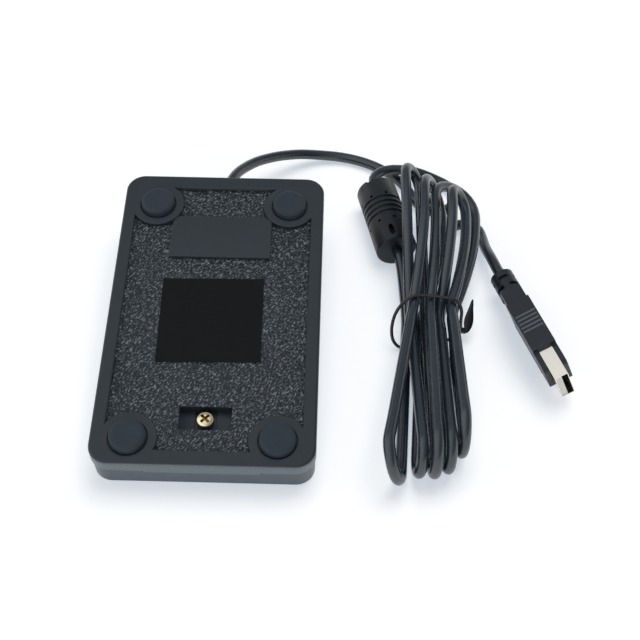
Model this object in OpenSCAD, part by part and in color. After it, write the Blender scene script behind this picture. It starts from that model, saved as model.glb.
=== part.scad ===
// USB foot pedal switch with its cable, lying on its tread with the underside up.
// Millimetres. +X across the pedal, +Y towards the cable end, +Z up out of the underside.
// The body is drawn in the base's own frame, whose z = 0 is the underside rim, and then laid down.

/* [Body] */
// Width of the base
body_w = 68; // [60:1:80]
// Length of the base
body_l = 111; // [100:1:125]
// Corner radius of the base
corner_r = 6.3; // [4:0.1:9]
// Angle between the base and the tread
wedge = 6; // [5:0.5:8]
// Thickness at the heel end, from rim to tread
heel_t = 13.1; // [12.6:0.1:16]

/* [Base tray] */
// Height of the base's side band
band_h = 4.85; // [4.4:0.05:5.4]
// Width of the side band's wall
band_wall = 2; // [1.4:0.1:2.3]
// Depth of the grained recess
recess_d = 1.3; // [0.8:0.1:1.6]
// Thickness of the floor under the recess
floor_t = 2.2; // [1.8:0.1:2.6]
// Rim beside the recess
rim_side = 4.2; // [3:0.1:6]
// Rim at the cable end
rim_cable = 5.3; // [4:0.1:7]
// Rim at the heel end
rim_heel = 4.8; // [4:0.1:7]
// Wall of the upstand inside the pedal's skirt
upstand_wall = 1.6; // [1.2:0.1:2]
// How far the upstand overlaps the skirt
upstand_lap = 3.4; // [2:0.1:4]
// Width of the locating lip at the heel end
lip_w = 35; // [20:1:44]
// Drop of the locating lip below the side band
lip_drop = 0.7; // [0.3:0.1:1]

/* [Feet] */
// Diameter of a rubber foot
foot_d = 11.3; // [9:0.1:13]
// Height of a foot above the rim
foot_h = 2.1; // [1.5:0.1:3]
// Depth of the foot's seat
foot_seat = 0.8; // [0.5:0.1:1.2]
// Diameter of the boss round a foot
foot_boss_d = 17.6; // [15:0.1:19]
// Feet in from the sides
foot_in_side = 11.6; // [10:0.1:14]
// Feet in from the cable end
foot_in_cable = 12.7; // [11:0.1:15]
// Feet in from the heel end
foot_in_heel = 8.6; // [8:0.1:13]
// Gap round a foot in its seat
foot_ring = 0.3; // [0.1:0.05:0.5]

/* [Pad and label] */
// Width of the smooth pad
pad_w = 33.4; // [26:0.1:36]
// Length of the smooth pad
pad_l = 17; // [12:0.1:18]
// Middle of the smooth pad, in from the cable end
pad_in = 26.1; // [24:0.1:28]
// Drop of the pad below the rim
pad_drop = 0.25; // [0.1:0.05:0.6]
// Width of the label
label_w = 33; // [26:1:36]
// Length of the label
label_l = 32; // [26:1:34]
// Label's place across
label_x = -1; // [-3:0.1:3]
// Label's place along
label_y = -3.3; // [-6:0.1:0]
// Thickness of the label
label_t = 0.15; // [0.1:0.05:0.3]
// Turn of the label in degrees
label_turn = 1; // [-3:0.5:3]

/* [Screw pocket] */
// Width of the pocket
pocket_w = 16.2; // [13:0.1:18]
// Length of the pocket
pocket_l = 7.9; // [7:0.1:9]
// Middle of the pocket, in from the heel end
pocket_in = 16.35; // [15.4:0.05:17.5]
// Depth of the pocket below the recess
pocket_d = 2.8; // [2.4:0.1:3.2]
// Width of the deeper slot
slot_w = 6.8; // [6:0.1:8]
// Extra depth of the slot
slot_d = 0.8; // [0.5:0.1:1]
// Diameter of the screw's head
screw_head_d = 5.2; // [4.6:0.1:5.6]
// Height of the screw's head
screw_head_h = 2; // [1.6:0.1:2.4]
// Diameter of the screw's shank
screw_d = 2.9; // [2.5:0.1:3.1]
// Head's top below the rim
screw_sink = 1.35; // [1:0.05:1.6]

/* [Pedal] */
// Skirt set in from the base
pedal_inset = 0.4; // [0.2:0.1:0.8]
// Thickness of the skirt
skirt_wall = 1.9; // [1.6:0.1:2.2]
// Thickness of the tread
tread_t = 2.2; // [1.8:0.1:2.6]
// Pedal travel in degrees
travel = 3; // [2:0.25:3.5]
// Depth of a grip groove
groove_d = 0.7; // [0.4:0.1:1]
// Width of a grip groove
groove_w = 2.4; // [1.6:0.1:3]
// Number of grip grooves
groove_n = 11; // [5:1:13]

/* [Hinge] */
// Hinge line, in from the heel end
hinge_in = 9.5; // [8.5:0.1:10.1]
// Hinge line below the rim
hinge_drop = 8; // [7.6:0.1:8.4]
// Diameter of a hinge pin
pin_d = 2.5; // [2:0.1:3]
// Diameter of the knuckles
knuckle_d = 5; // [4.6:0.1:5.2]
// Width of the pedal's knuckle
knuckle_w = 4; // [3:0.1:5]
// Width of one ear on the base
ear_w = 2.5; // [2:0.1:3]
// Middle of a hinge, in from the side
hinge_in_side = 11.6; // [11.4:0.1:13]

/* [Spring] */
// Middle of the coils, spring's diameter
spring_d = 8; // [7:0.1:10]
// Diameter of the spring wire
spring_wire = 0.8; // [0.6:0.1:1]
// Number of curls
spring_n = 6; // [4:1:7]
// Spring's place along the body
spring_y = -12; // [-16:0.5:-8]

/* [Circuit board] */
// Width of the board
board_w = 40; // [36:1:46]
// Length of the board
board_l = 26; // [25:0.5:30]
// Thickness of the board
board_t = 1.2; // [1:0.1:1.6]
// Middle of the board
board_y = 15; // [14:0.5:17]
// Height of the pedal's presser on the tread
presser_h = 0.4; // [0.3:0.1:0.8]
// Diameter of the board's screws
board_screw_d = 2; // [1.6:0.1:2.2]

/* [Switch] */
// Width of the switch body
switch_w = 6; // [5:0.1:6.5]
// Length of the switch body
switch_l = 12.8; // [12.4:0.1:13.4]
// Height of the switch body
switch_h = 6.5; // [6:0.1:6.8]
// Switch's place across
switch_x = -6; // [-8:0.1:-5]
// Length of the lever
lever_l = 12.6; // [12:0.1:13]
// Lever's angle at rest
lever_lift = 17; // [16:0.5:18]
// Diameter of the switch plunger
plunger_d = 2; // [1.6:0.1:2.4]

/* [Cable and plug] */
// Diameter of the cable
cable_d = 3.7; // [3.4:0.1:3.8]
// Cable's exit below the rim
exit_drop = 9.2; // [9:0.1:9.6]
// Diameter of the strain relief
relief_d = 5.8; // [5.2:0.1:6]
// Diameter of the ferrite bead
bead_d = 14.4; // [13:0.1:14.6]
// Length of the ferrite bead
bead_l = 30; // [29.5:0.5:30.5]
// Wide side of the plug's grip
grip_w = 14.6; // [14:0.1:14.8]
// Narrow side of the plug's grip
grip_t = 8; // [7.4:0.1:8.4]
// Length of the plug's grip
grip_l = 20.5; // [18:0.5:22]
// Length of the plug's shell past the grip
shell_out = 12; // [11:0.1:12.4]

/* [Hidden] */
$fn = 48;

// Small gaps: parts that move past each other, parts that seat on each other, pins in their bores
run_gap = 0.5;
seat_gap = 0.05;
pin_gap = 0.03;
// Overlap that keeps joined shapes one solid, and how far a cut runs past what it cuts
bite = 0.2;
cut = 1;

// Levels in the base's frame
half_l = body_l / 2;
half_w = body_w / 2;
hinge_y = -half_l + hinge_in;
hinge_x = half_w - hinge_in_side;
pocket_y = -half_l + pocket_in;
pad_y = half_l - pad_in;
floor_z = -recess_d - floor_t;
seam_gap = 0.4;
skirt_z = -band_h - seam_gap;
hinge_z = -hinge_drop;
swing_spare = 0.4;
skirt_slope = tan(travel + swing_spare);
far_below = -60;

function tread_z(y) = -heel_t - (y + half_l) * tan(wedge);
function tread_in(y) = tread_z(y) + tread_t / cos(wedge);
function skirt_edge(y) = skirt_z - max(0, y - hinge_y) * skirt_slope;
function swing(y) = (y - hinge_y) * sin(travel);

// Where the body lies: tread flat on the ground, box centred over the origin
lay_z = heel_t * cos(wedge) + half_l * sin(wedge);
heel_reach = -half_l * cos(wedge);
toe_y = half_l - pedal_inset;
toe_reach = toe_y * cos(wedge) - tread_z(toe_y) * sin(wedge);
lay_y = -(heel_reach + toe_reach) / 2;

module lying() { translate([0, lay_y, lay_z]) rotate([wedge, 0, 0]) children(); }

// Plan of the base drawn in by a margin, with round corners
module plan(inset) {
    w = body_w - 2 * inset;
    l = body_l - 2 * inset;
    r = max(corner_r - inset, 0.6);
    square([w - 2 * r, l], center = true);
    square([w, l - 2 * r], center = true);
    for (sx = [-1, 1], sy = [-1, 1])
        translate([sx * (w / 2 - r), sy * (l / 2 - r)]) circle(r);
}

module slab(inset, z_top, z_low) {
    translate([0, 0, z_low]) linear_extrude(z_top - z_low) plan(inset);
}

// A side view, drawn as y and z, pushed across the whole width
module side_view(points) {
    translate([-body_w, 0, 0]) rotate([90, 0, 90]) linear_extrude(2 * body_w) polygon(points);
}

module block(x0, x1, y0, y1, z0, z1) { translate([x0, y0, z0]) cube([x1 - x0, y1 - y0, z1 - z0]); }

module rod_x(x0, x1, y, z, d) { translate([x0, y, z]) rotate([0, 90, 0]) cylinder(h = x1 - x0, d = d); }

// Base tray

foot_x = half_w - foot_in_side;
foot_places = [
    [-foot_x, half_l - foot_in_cable], [foot_x, half_l - foot_in_cable],
    [-foot_x, -half_l + foot_in_heel], [foot_x, -half_l + foot_in_heel]];
upstand_inset = pedal_inset + skirt_wall + run_gap;
upstand_in_y = half_l - upstand_inset - upstand_wall;
upstand_heel_z = skirt_z - upstand_lap;
upstand_toe_z = skirt_edge(half_l) - upstand_lap;
pocket_z = -recess_d - pocket_d;
slot_z = pocket_z - slot_d;
pocket_wall = 1.5;
pocket_low = slot_z - pocket_wall;
screw_seat_z = -screw_sink - screw_head_h - seat_gap;
screw_room = 1.1;
seat_d = screw_head_d - 0.2;
screw_y = pocket_y;
ear_gap = 0.35;
ear_out = knuckle_w / 2 + ear_gap + ear_w;
spigot_h = 3;
spigot_d = spring_d - spring_wire - 1;
exit_z = -exit_drop;
relief_proud = 1;
relief_end = half_l + relief_proud;
relief_room = relief_d / 2 + 0.8;
notch_low = exit_z - relief_d / 2 - swing(half_l) - run_gap;
shield_low = tread_in(upstand_in_y) + swing(half_l) + run_gap;

// The switch hangs off the board, which hangs off the floor, so that the lever's tip meets the presser
lever_t = 0.3;
tip_spare = 0.8;
lever_reach = lever_l - tip_spare;
switch_edge = 2;
switch_back_y = board_y - board_l / 2 + switch_edge;
switch_mid_y = switch_back_y + switch_l / 2;
pivot_in = 0.9;
pivot_gap = 0.35;
pivot_y = switch_back_y + pivot_in;
press_y = pivot_y + lever_reach * cos(lever_lift);
presser_gap = 0.25;
presser_z = tread_in(press_y) + presser_h;
pivot_z = presser_z + presser_gap + lever_reach * sin(lever_lift) + lever_t * cos(lever_lift);
switch_low = pivot_z + pivot_gap;
board_low = switch_low + switch_h;
board_z = board_low + board_t;
plunger_in = 3.2;
plunger_y = pivot_y + plunger_in;
plunger_room = 0.1;
plunger_tip = pivot_z - (plunger_in - plunger_d / 2) * tan(lever_lift) + plunger_room;
plunger_l = 2.2;
terminal_pitch = 5;
terminal_d = 0.9;
post_h = floor_z - board_z;
post_d = 5;
post_edge = 3.5;
post_x = board_w / 2 - post_edge;
post_y = board_l / 2 - post_edge;
post_places = [for (sx = [-1, 1], sy = [-1, 1]) [sx * post_x, board_y + sy * post_y]];

module screw_boss() {
    translate([0, screw_y, slot_z - cut]) cylinder(h = screw_seat_z - slot_z + cut, d = seat_d);
}

module pocket_room(w, low) {
    difference() {
        block(-w / 2, w / 2, pocket_y - pocket_l / 2, pocket_y + pocket_l / 2, low, cut);
        screw_boss();
    }
}

// Each foot's boss runs into the rim at its corner
module recess_room() {
    difference() {
        block(-half_w + rim_side, half_w - rim_side, -half_l + rim_heel, half_l - rim_cable, -recess_d, cut);
        for (p = foot_places) {
            corner = [sign(p[0]) * half_w, sign(p[1]) * half_l];
            translate([p[0], p[1], -recess_d - cut]) cylinder(h = recess_d + 3 * cut, d = foot_boss_d);
            block(min(p[0], corner[0]), max(p[0], corner[0]), min(p[1], corner[1]), max(p[1], corner[1]),
                -recess_d - cut, 2 * cut);
        }
        block(-pad_w / 2, pad_w / 2, pad_y - pad_l / 2, pad_y + pad_l / 2, -recess_d - cut, -pad_drop);
    }
}

// Wall inside the pedal's skirt, with a shield behind the notch that the cable passes
module upstand() {
    shield_x = relief_room + upstand_wall;
    intersection() {
        difference() {
            slab(upstand_inset, floor_z + bite, far_below);
            slab(upstand_inset + upstand_wall, cut, far_below - cut);
        }
        union() {
            side_view([[-half_l, floor_z + cut], [half_l, floor_z + cut], [half_l, upstand_toe_z],
                [-half_l, upstand_heel_z]]);
            block(-shield_x, shield_x, 0, half_l, shield_low, floor_z);
        }
    }
}

module hinge_ear(x0) {
    difference() {
        union() {
            block(x0, x0 + ear_w, hinge_y - knuckle_d / 2, hinge_y + knuckle_d / 2, hinge_z, floor_z + bite);
            rod_x(x0, x0 + ear_w, hinge_y, hinge_z, knuckle_d);
        }
        rod_x(x0 - cut, x0 + ear_w + cut, hinge_y, hinge_z, pin_d + 2 * pin_gap);
    }
}

module base_tray() {
    pocket_x = pocket_w / 2 + pocket_wall;
    pocket_reach = pocket_l / 2 + pocket_wall;
    relief_hole_l = relief_end - upstand_in_y + cut;
    color("#3a4148") lying() difference() {
        union() {
            slab(0, 0, floor_z);
            difference() {
                slab(0, floor_z + bite, -band_h);
                slab(band_wall, cut, -band_h - cut);
            }
            block(-lip_w / 2, lip_w / 2, -half_l, -half_l + band_wall, -band_h - lip_drop, -band_h + bite);
            upstand();
            block(-pocket_x, pocket_x, pocket_y - pocket_reach, pocket_y + pocket_reach,
                pocket_low, floor_z + bite);
            for (sx = [-1, 1]) {
                hinge_ear(sx * hinge_x - ear_out);
                hinge_ear(sx * hinge_x + ear_out - ear_w);
            }
            for (p = post_places) translate([p[0], p[1], board_z]) cylinder(h = post_h + bite, d = post_d);
            translate([0, spring_y, floor_z - spigot_h]) cylinder(h = spigot_h + bite, d = spigot_d);
        }
        recess_room();
        pocket_room(pocket_w, pocket_z);
        pocket_room(slot_w, slot_z);
        translate([0, screw_y, pocket_low - cut])
            cylinder(h = cut - pocket_low + cut, d = screw_d + screw_room);
        for (p = foot_places)
            translate([p[0], p[1], -foot_seat]) cylinder(h = foot_seat + cut, d = foot_d + 2 * foot_ring);
        for (p = post_places) translate([p[0], p[1], board_z - cut])
            cylinder(h = post_h + 2 * cut, d = board_screw_d + 2 * pin_gap);
        translate([0, relief_end, exit_z]) rotate([90, 0, 0])
            cylinder(h = relief_hole_l, d = relief_d + 2 * seat_gap);
    }
}

module foot(place) {
    edge = 0.8;
    flat_r = foot_d / 2 - edge;
    tall = foot_h + foot_seat;
    color("#3a4046") lying() translate([place[0], place[1], -foot_seat]) rotate_extrude() {
        square([foot_d / 2, tall - edge]);
        square([flat_r, tall]);
        translate([flat_r, tall - edge]) intersection() {
            circle(edge);
            square(edge);
        }
    }
}

module label_sticker() {
    color("#1d2124") lying() translate([label_x, label_y, -recess_d]) rotate(label_turn)
        translate([-label_w / 2, -label_l / 2, 0]) cube([label_w, label_l, label_t]);
}

// Pedal

post_top = pocket_low - swing(screw_y) - run_gap;
screw_post_d = 6.4;
screw_bite = 4.2;
screw_tip = post_top - screw_bite;
tip_gap = 0.4;
spring_seat_d = spring_d + 2;
spring_seat_t = 2;
spring_low = tread_in(spring_y - spring_seat_d / 2) + bite;

module pedal_room() {
    intersection() {
        slab(pedal_inset + skirt_wall, cut, far_below);
        side_view([[-half_l, cut], [half_l, cut], [half_l, tread_in(half_l)], [-half_l, tread_in(-half_l)]]);
    }
}

module grip_grooves() {
    side = 8;
    pitch = (body_l - 4 * side) / (groove_n - 1);
    for (i = [0 : groove_n - 1]) {
        y = (i - (groove_n - 1) / 2) * pitch;
        translate([0, y, tread_z(y)]) rotate([-wedge, 0, 0])
            block(-half_w + side, half_w - side, -groove_w / 2, groove_w / 2, -cut, groove_d);
    }
}

module pedal_shell() {
    difference() {
        intersection() {
            slab(pedal_inset, cut, far_below);
            side_view([[-half_l, skirt_z], [hinge_y, skirt_z], [half_l, skirt_edge(half_l)],
                [half_l, tread_z(half_l)], [-half_l, tread_z(-half_l)]]);
        }
        pedal_room();
    }
}

module pedal_cover() {
    presser_w = 4;
    presser_l = 1.2;
    sunk = 0.5;
    knuckle_low = tread_in(hinge_y + knuckle_d / 2) - sunk;
    color("#4a5158") lying() difference() {
        union() {
            pedal_shell();
            for (sx = [-1, 1]) {
                x0 = sx * hinge_x - knuckle_w / 2;
                block(x0, x0 + knuckle_w, hinge_y - knuckle_d / 2, hinge_y + knuckle_d / 2,
                    knuckle_low, hinge_z);
                rod_x(x0, x0 + knuckle_w, hinge_y, hinge_z, knuckle_d);
            }
            translate([0, screw_y, tread_in(screw_y) - cut])
                cylinder(h = post_top - tread_in(screw_y) + cut, d = screw_post_d);
            translate([0, spring_y, spring_low - spring_seat_t])
                cylinder(h = spring_seat_t, d = spring_seat_d);
            translate([0, spring_y, spring_low - bite]) cylinder(h = spigot_h + bite, d = spigot_d);
            block(switch_x - presser_w / 2, switch_x + presser_w / 2, press_y - presser_l / 2,
                press_y + presser_l / 2, tread_in(press_y) - sunk, presser_z);
        }
        grip_grooves();
        for (sx = [-1, 1]) rod_x(sx * hinge_x - knuckle_w, sx * hinge_x + knuckle_w, hinge_y, hinge_z,
            pin_d + 4 * pin_gap);
        translate([0, screw_y, screw_tip - tip_gap])
            cylinder(h = screw_bite + tip_gap + cut, d = screw_d + 2 * pin_gap);
        block(-lip_w / 2 - seam_gap, lip_w / 2 + seam_gap, -half_l - cut, -half_l + band_wall + seam_gap,
            skirt_z - lip_drop, 0);
        block(-relief_room, relief_room, upstand_in_y, relief_end + cut, notch_low, 0);
    }
}

module retaining_screw() {
    head_top = -screw_sink;
    dome = 0.7;
    head_r = screw_head_d / 2;
    shoulder = [head_r - 0.25, dome / 2];
    flat_r = 1.5;
    cross_w = 0.9;
    cross_l = 3;
    cross_d = 1.1;
    cross_turn = 40;
    color("#d9c069") lying() translate([0, screw_y, 0]) difference() {
        union() {
            translate([0, 0, screw_tip]) cylinder(h = head_top - dome - screw_tip, d = screw_d);
            translate([0, 0, head_top - screw_head_h]) cylinder(h = screw_head_h - dome, d = screw_head_d);
            translate([0, 0, head_top - dome]) rotate_extrude()
                polygon([[0, 0], [head_r, 0], shoulder, [flat_r, dome], [0, dome]]);
        }
        for (turn = [0, 90]) translate([0, 0, head_top - cross_d]) rotate(cross_turn + turn)
            translate([-cross_l / 2, -cross_w / 2, 0]) cube([cross_l, cross_w, cross_d + cut]);
    }
}

module hinge_pin(side) {
    x = side * hinge_x;
    color("#b9bdc2") lying() rod_x(x - ear_out, x + ear_out, hinge_y, hinge_z, pin_d);
}

// Swept tubes

function unit(v) = v / norm(v);
function heading(path, i) = unit(path[min(i + 1, len(path) - 1)] - path[max(i - 1, 0)]);
function tube_ring(path, i, r, sides, ref) =
    let(t = heading(path, i), a = unit(cross(t, ref)), b = cross(t, a))
    [for (k = [0 : sides - 1]) path[i] + r * (cos(360 * k / sides) * a + sin(360 * k / sides) * b)];
function tube_skin(rings, sides) = let(last = (rings - 1) * sides) concat(
    [for (k = [1 : sides - 2]) [0, k, k + 1]],
    [for (i = [0 : rings - 2], k = [0 : sides - 1])
        [i * sides + k, (i + 1) * sides + k, i * sides + (k + 1) % sides]],
    [for (i = [0 : rings - 2], k = [0 : sides - 1])
        [i * sides + (k + 1) % sides, (i + 1) * sides + k, (i + 1) * sides + (k + 1) % sides]],
    [for (k = [1 : sides - 2]) [last, last + k + 1, last + k]]);

module tube(path, d, sides, ref) {
    rings = [for (i = [0 : len(path) - 1]) each tube_ring(path, i, d / 2, sides, ref)];
    polyhedron(points = rings, faces = tube_skin(len(path), sides), convexity = 10);
}

// Least clear room between stretches of one path that lie more than a few steps apart
function finer(path, parts) = concat([for (i = [0 : len(path) - 2], k = [0 : parts - 1])
    path[i] + (path[i + 1] - path[i]) * k / parts], [path[len(path) - 1]]);
function path_room(path, d, apart) = min([for (i = [0 : len(path) - 1], j = [i + apart : 1 : len(path) - 1])
    norm(path[i] - path[j])]) - d;

// Return spring

spring_rise = (floor_z - spring_low - spring_wire - 2 * seat_gap) / spring_n;
spring_steps = 8;
spring_sides = 6;
spring_path = [for (i = [0 : spring_n * spring_steps]) [
    spring_d / 2 * cos(360 * i / spring_steps),
    spring_y + spring_d / 2 * sin(360 * i / spring_steps),
    spring_low + seat_gap + spring_wire / 2 + spring_rise * i / spring_steps]];

module return_spring() {
    color("#aab0b6") lying() tube(spring_path, spring_wire, spring_sides, [0, 0, 1]);
}

// Circuit board and what is on it

module circuit_board() {
    hole_room = 0.3;
    pin_room = 0.2;
    color("#2f5a3a") lying() difference() {
        block(-board_w / 2, board_w / 2, board_y - board_l / 2, board_y + board_l / 2, board_low, board_z);
        for (p = post_places) translate([p[0], p[1], board_low - cut])
            cylinder(h = board_t + 2 * cut, d = board_screw_d + hole_room);
        for (i = [-1 : 1]) translate([switch_x, switch_mid_y + i * terminal_pitch, board_low - cut])
            cylinder(h = board_t + 2 * cut, d = terminal_d + pin_room);
    }
}

module board_screws() {
    head_h = 1.3;
    head_d = 1.9 * board_screw_d;
    color("#9aa0a6") lying() for (p = post_places) translate([p[0], p[1], board_low - head_h]) {
        cylinder(h = head_h - seat_gap, d = head_d);
        cylinder(h = head_h + board_t + post_h - bite, d = board_screw_d);
    }
}

module switch_body() {
    bore_l = plunger_l + 1.2;
    color("#23262a") lying() difference() {
        block(switch_x - switch_w / 2, switch_x + switch_w / 2, switch_back_y, switch_back_y + switch_l,
            switch_low, board_low);
        translate([switch_x, plunger_y, switch_low - cut])
            cylinder(h = bore_l + cut, d = plunger_d + 2 * plunger_room);
    }
}

module switch_terminals() {
    proud = 0.9;
    color("#c9b67a") lying() for (i = [-1 : 1])
        translate([switch_x, switch_mid_y + i * terminal_pitch, board_low])
            cylinder(h = board_t + proud, d = terminal_d);
}

module switch_lever() {
    lever_w = 3.6;
    roll_d = 2 * lever_t;
    color("#b8bcc0") lying() translate([switch_x, pivot_y, pivot_z]) rotate([-lever_lift, 0, 0]) {
        block(-lever_w / 2, lever_w / 2, 0, lever_l, -lever_t, 0);
        rod_x(-lever_w / 2, lever_w / 2, 0, 0, roll_d);
    }
}

module switch_plunger() {
    color("#d8d4c8") lying() translate([switch_x, plunger_y, plunger_tip])
        cylinder(h = switch_low + plunger_l - plunger_tip, d = plunger_d);
}

parts_x = 7.5;

module controller_chip() {
    body = 8;
    tall = 1.6;
    lift = 0.2;
    legs = 8;
    leg_pitch = 0.9;
    leg_w = 0.4;
    leg_l = 1.2;
    leg_in = 0.2;
    leg_z = 0.6;
    color("#1b1c1e") lying() translate([parts_x, board_y + 2, board_low - tall]) {
        translate([-body / 2, -body / 2, 0]) cube([body, body, tall - lift]);
        for (i = [0 : legs - 1], sx = [-1, 1])
            translate([sx * (body / 2 - leg_in + leg_l / 2), (i - (legs - 1) / 2) * leg_pitch, leg_z])
                translate([-leg_l / 2, -leg_w / 2, 0]) cube([leg_l, leg_w, tall - leg_z]);
    }
}

module crystal_can() {
    can_l = 9;
    can_w = 4;
    can_h = 3.4;
    from_chip = 10.2;
    color("#c4c8cc") lying() translate([parts_x, board_y + 2 - from_chip, board_low - can_h]) {
        translate([-can_l / 2 + can_w / 2, -can_w / 2, 0]) cube([can_l - can_w, can_w, can_h]);
        for (sx = [-1, 1]) translate([sx * (can_l - can_w) / 2, 0, 0]) cylinder(h = can_h, d = can_w);
    }
}

module filter_capacitor() {
    cap_h = 5.4;
    cap_d = 4;
    from_edge = 6;
    color("#20242c") lying() translate([-board_w / 2 + from_edge, board_y, board_low - cap_h])
        cylinder(h = cap_h, d = cap_d);
}

header_x = 4;
header_w = 12;
header_t = 5.4;
header_h = 5.6;
header_edge = 0.6;
lead_n = 4;
lead_pitch = 2.5;
lead_d = 1.1;
lead_depth = 2.4;
header_y = board_y + board_l / 2 - header_t / 2 - header_edge;
header_low = board_low - header_h;

function lead_spot(i) = header_x + (i - (lead_n - 1) / 2) * lead_pitch;

module wire_header() {
    hole_room = 0.2;
    hole_l = lead_depth + 0.6;
    color("#e8e6de") lying() difference() {
        block(header_x - header_w / 2, header_x + header_w / 2, header_y - header_t / 2,
            header_y + header_t / 2, header_low, board_low);
        for (i = [0 : lead_n - 1]) translate([lead_spot(i), header_y, header_low - cut])
            cylinder(h = hole_l + cut, d = lead_d + hole_room);
    }
}

// Leads fan out from the strain relief, pass under the board's edge and turn up into the header
flange_t = 2;
relief_in = upstand_in_y - flange_t;
fan_pitch = 1.3;

function lead_route(i) = let(x = lead_spot(i), fan = (i - (lead_n - 1) / 2) * fan_pitch) [
    [fan, relief_in, exit_z],
    [fan, relief_in - 2, exit_z],
    [fan + (x - fan) * 0.15, relief_in - 7, exit_z - 2.5],
    [fan + (x - fan) * 0.55, relief_in - 14, header_low - 1.2],
    [x, header_y + 3, header_low - 1.9],
    [x, header_y + 0.9, header_low - 1.6],
    [x, header_y, header_low - 0.6],
    [x, header_y, header_low + lead_depth]];

module inner_leads() {
    for (i = [0 : lead_n - 1]) color(["#b03030", "#e0e0dc", "#2f8a45", "#26282a"][i])
        lying() tube(lead_route(i), lead_d, cable_sides, [1, 0, 0]);
}

module cable_relief() {
    flange_d = relief_d + 2.4;
    color("#2a2d31") lying() translate([0, relief_in, exit_z]) rotate([-90, 0, 0]) {
        cylinder(h = relief_end - relief_in, d = relief_d);
        cylinder(h = flange_t - seat_gap, d = flange_d);
    }
}

// Cable, bead, hank and tail, as they lie on the ground

cable_sides = 8;
hank_sides = 6;
// Straight length of cable at each end that meets another piece
stub = 0.6 * cable_d;
ground_z = cable_d / 2 + 0.15;
exit_way = [0, cos(wedge), sin(wedge)];
exit_point = [0, relief_end * cos(wedge) - exit_z * sin(wedge) + lay_y,
    relief_end * sin(wedge) + exit_z * cos(wedge) + lay_z];

bead_far = [52.8, 66.3, 7.3];
bead_way = unit([7, -29.2, 0]);
bead_near = bead_far + bead_l * bead_way;
bead_wall = 1.6;
bead_room = 0.2;

lead_points = [
    [0.9, 62.4, 15.5], [2.6, 67, 14.6], [5.2, 71.6, 13.2], [8.9, 76.3, 11.6], [12.7, 80, 9.9],
    [16.8, 83.3, 8.2], [20.7, 85.8, 6.6], [24.6, 87.8, 5.2], [30.8, 89.6, 3.4], [39.5, 90, 2.2],
    [47.2, 88, 2], [54.4, 84.2, 2], [60, 79.6, 2], [64.4, 73.4, 2], [67.8, 66.4, 2], [71, 62.8, 2],
    [75.2, 61.9, 2], [79.3, 63.6, 2],
    [81.8, 67.4, 2], [81.8, 71.6, 2], [79.5, 75.2, 2.4], [75.6, 77.2, 3.2], [71, 78.2, 4.8], [66, 78.7, 6.2],
    [61, 78.6, 6.9], [57.2, 78, 7.1], [53.8, 76.2, 7.2], [51.9, 73, 7.3]];
cable_lead_path = concat([exit_point, exit_point + 2 * exit_way], lead_points,
    [bead_far - stub * bead_way, bead_far, bead_near]);

module cable_lead() { color("#25282c") tube(cable_lead_path, cable_d, cable_sides, [0, 0, 1]); }

module along(from, way) {
    turn = atan2(way[1], way[0]);
    rise = asin(way[2]);
    translate(from) rotate([0, 0, turn]) rotate([0, -rise, 0]) children();
}

module bead_cover() {
    groove_at = 9.6;
    groove_n = 4;
    groove_pitch = 2.4;
    groove_w = 0.9;
    groove_deep = 0.5;
    mouth_d = cable_d + 2 * seat_gap;
    color("#2b2f33") along(bead_far, bead_way) rotate([0, 90, 0]) difference() {
        cylinder(h = bead_l, d = bead_d);
        translate([0, 0, -cut]) cylinder(h = bead_l + 2 * cut, d = mouth_d);
        translate([0, 0, bead_wall]) cylinder(h = bead_l - 2 * bead_wall, d = bead_d - 2 * bead_wall);
        for (i = [0 : groove_n - 1]) translate([0, 0, groove_at + i * groove_pitch - groove_w / 2])
            difference() {
                cylinder(h = groove_w, d = bead_d + 2);
                translate([0, 0, -cut]) cylinder(h = groove_w + 2 * cut, d = bead_d - 2 * groove_deep);
            }
    }
}

module bead_core() {
    core_l = bead_l - 2 * bead_wall - 2 * bead_room;
    core_bore = cable_d + 1;
    core_from = bead_far + (bead_wall + bead_room) * bead_way;
    color("#4a4c50") along(core_from, bead_way) rotate([0, 90, 0]) difference() {
        cylinder(h = core_l, d = bead_d - 2 * bead_wall - 2 * seat_gap);
        translate([0, 0, -cut]) cylinder(h = core_l + 2 * cut, d = core_bore);
    }
}

// The hank: ten runs tied at the waist, which near and far folds join into one unbroken cable.
// A slot says where a run passes the waist: how far aside, and in which row.
waist_x = 69;
waist_y = 8;
waist_rows = [3.5, 8, 12.6];
slots = [[-6.3, 0], [-4.6, 2], [-1.5, 0], [-5.6, 1], [-0.4, 1], [1, 2], [8.6, 1], [7.9, 2], [4.2, 1], [4.4, 0]];
// A fold has the leg that it comes by and the leg that it leaves by, each as [x, z], and its y
near_folds = [
    [[59.8, 2], [55.4, 16.5], -48.4], [[64.7, 2], [65.8, 14], -46.8], [[69.4, 2], [70, 16.5], -46.2],
    [[77.9, 2], [78.4, 17], -38.5], [[74.2, 15], [73.7, 2], -44.8]];
far_folds = [
    [[68.8, 22], [76.2, 6.3], 54.2], [[62.4, 22.6], [68, 13.2], 60.4], [[72.9, 18], [87.6, 9.2], 53.4],
    [[83.8, 13.2], [78.2, 22.4], 50]];
tail_leg = [77.4, 2, 40];
link_points = [[61.2, 30, 6.6], [62.2, 19, 4.6]];
run_steps = 12;
fold_steps = 6;
last_s = 0.8;

// Share of the way from the waist to a fold: straight to a near fold, eased into a far one.
// A run that sinks to its near fold does so late, so that it clears the one below it.
function share(s) = s < 0 ? -s : sin(90 * s);
function rise_share(s, sinks) = s < 0 && sinks ? (1 - cos(180 * s * s)) / 2 : share(s);
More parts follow.
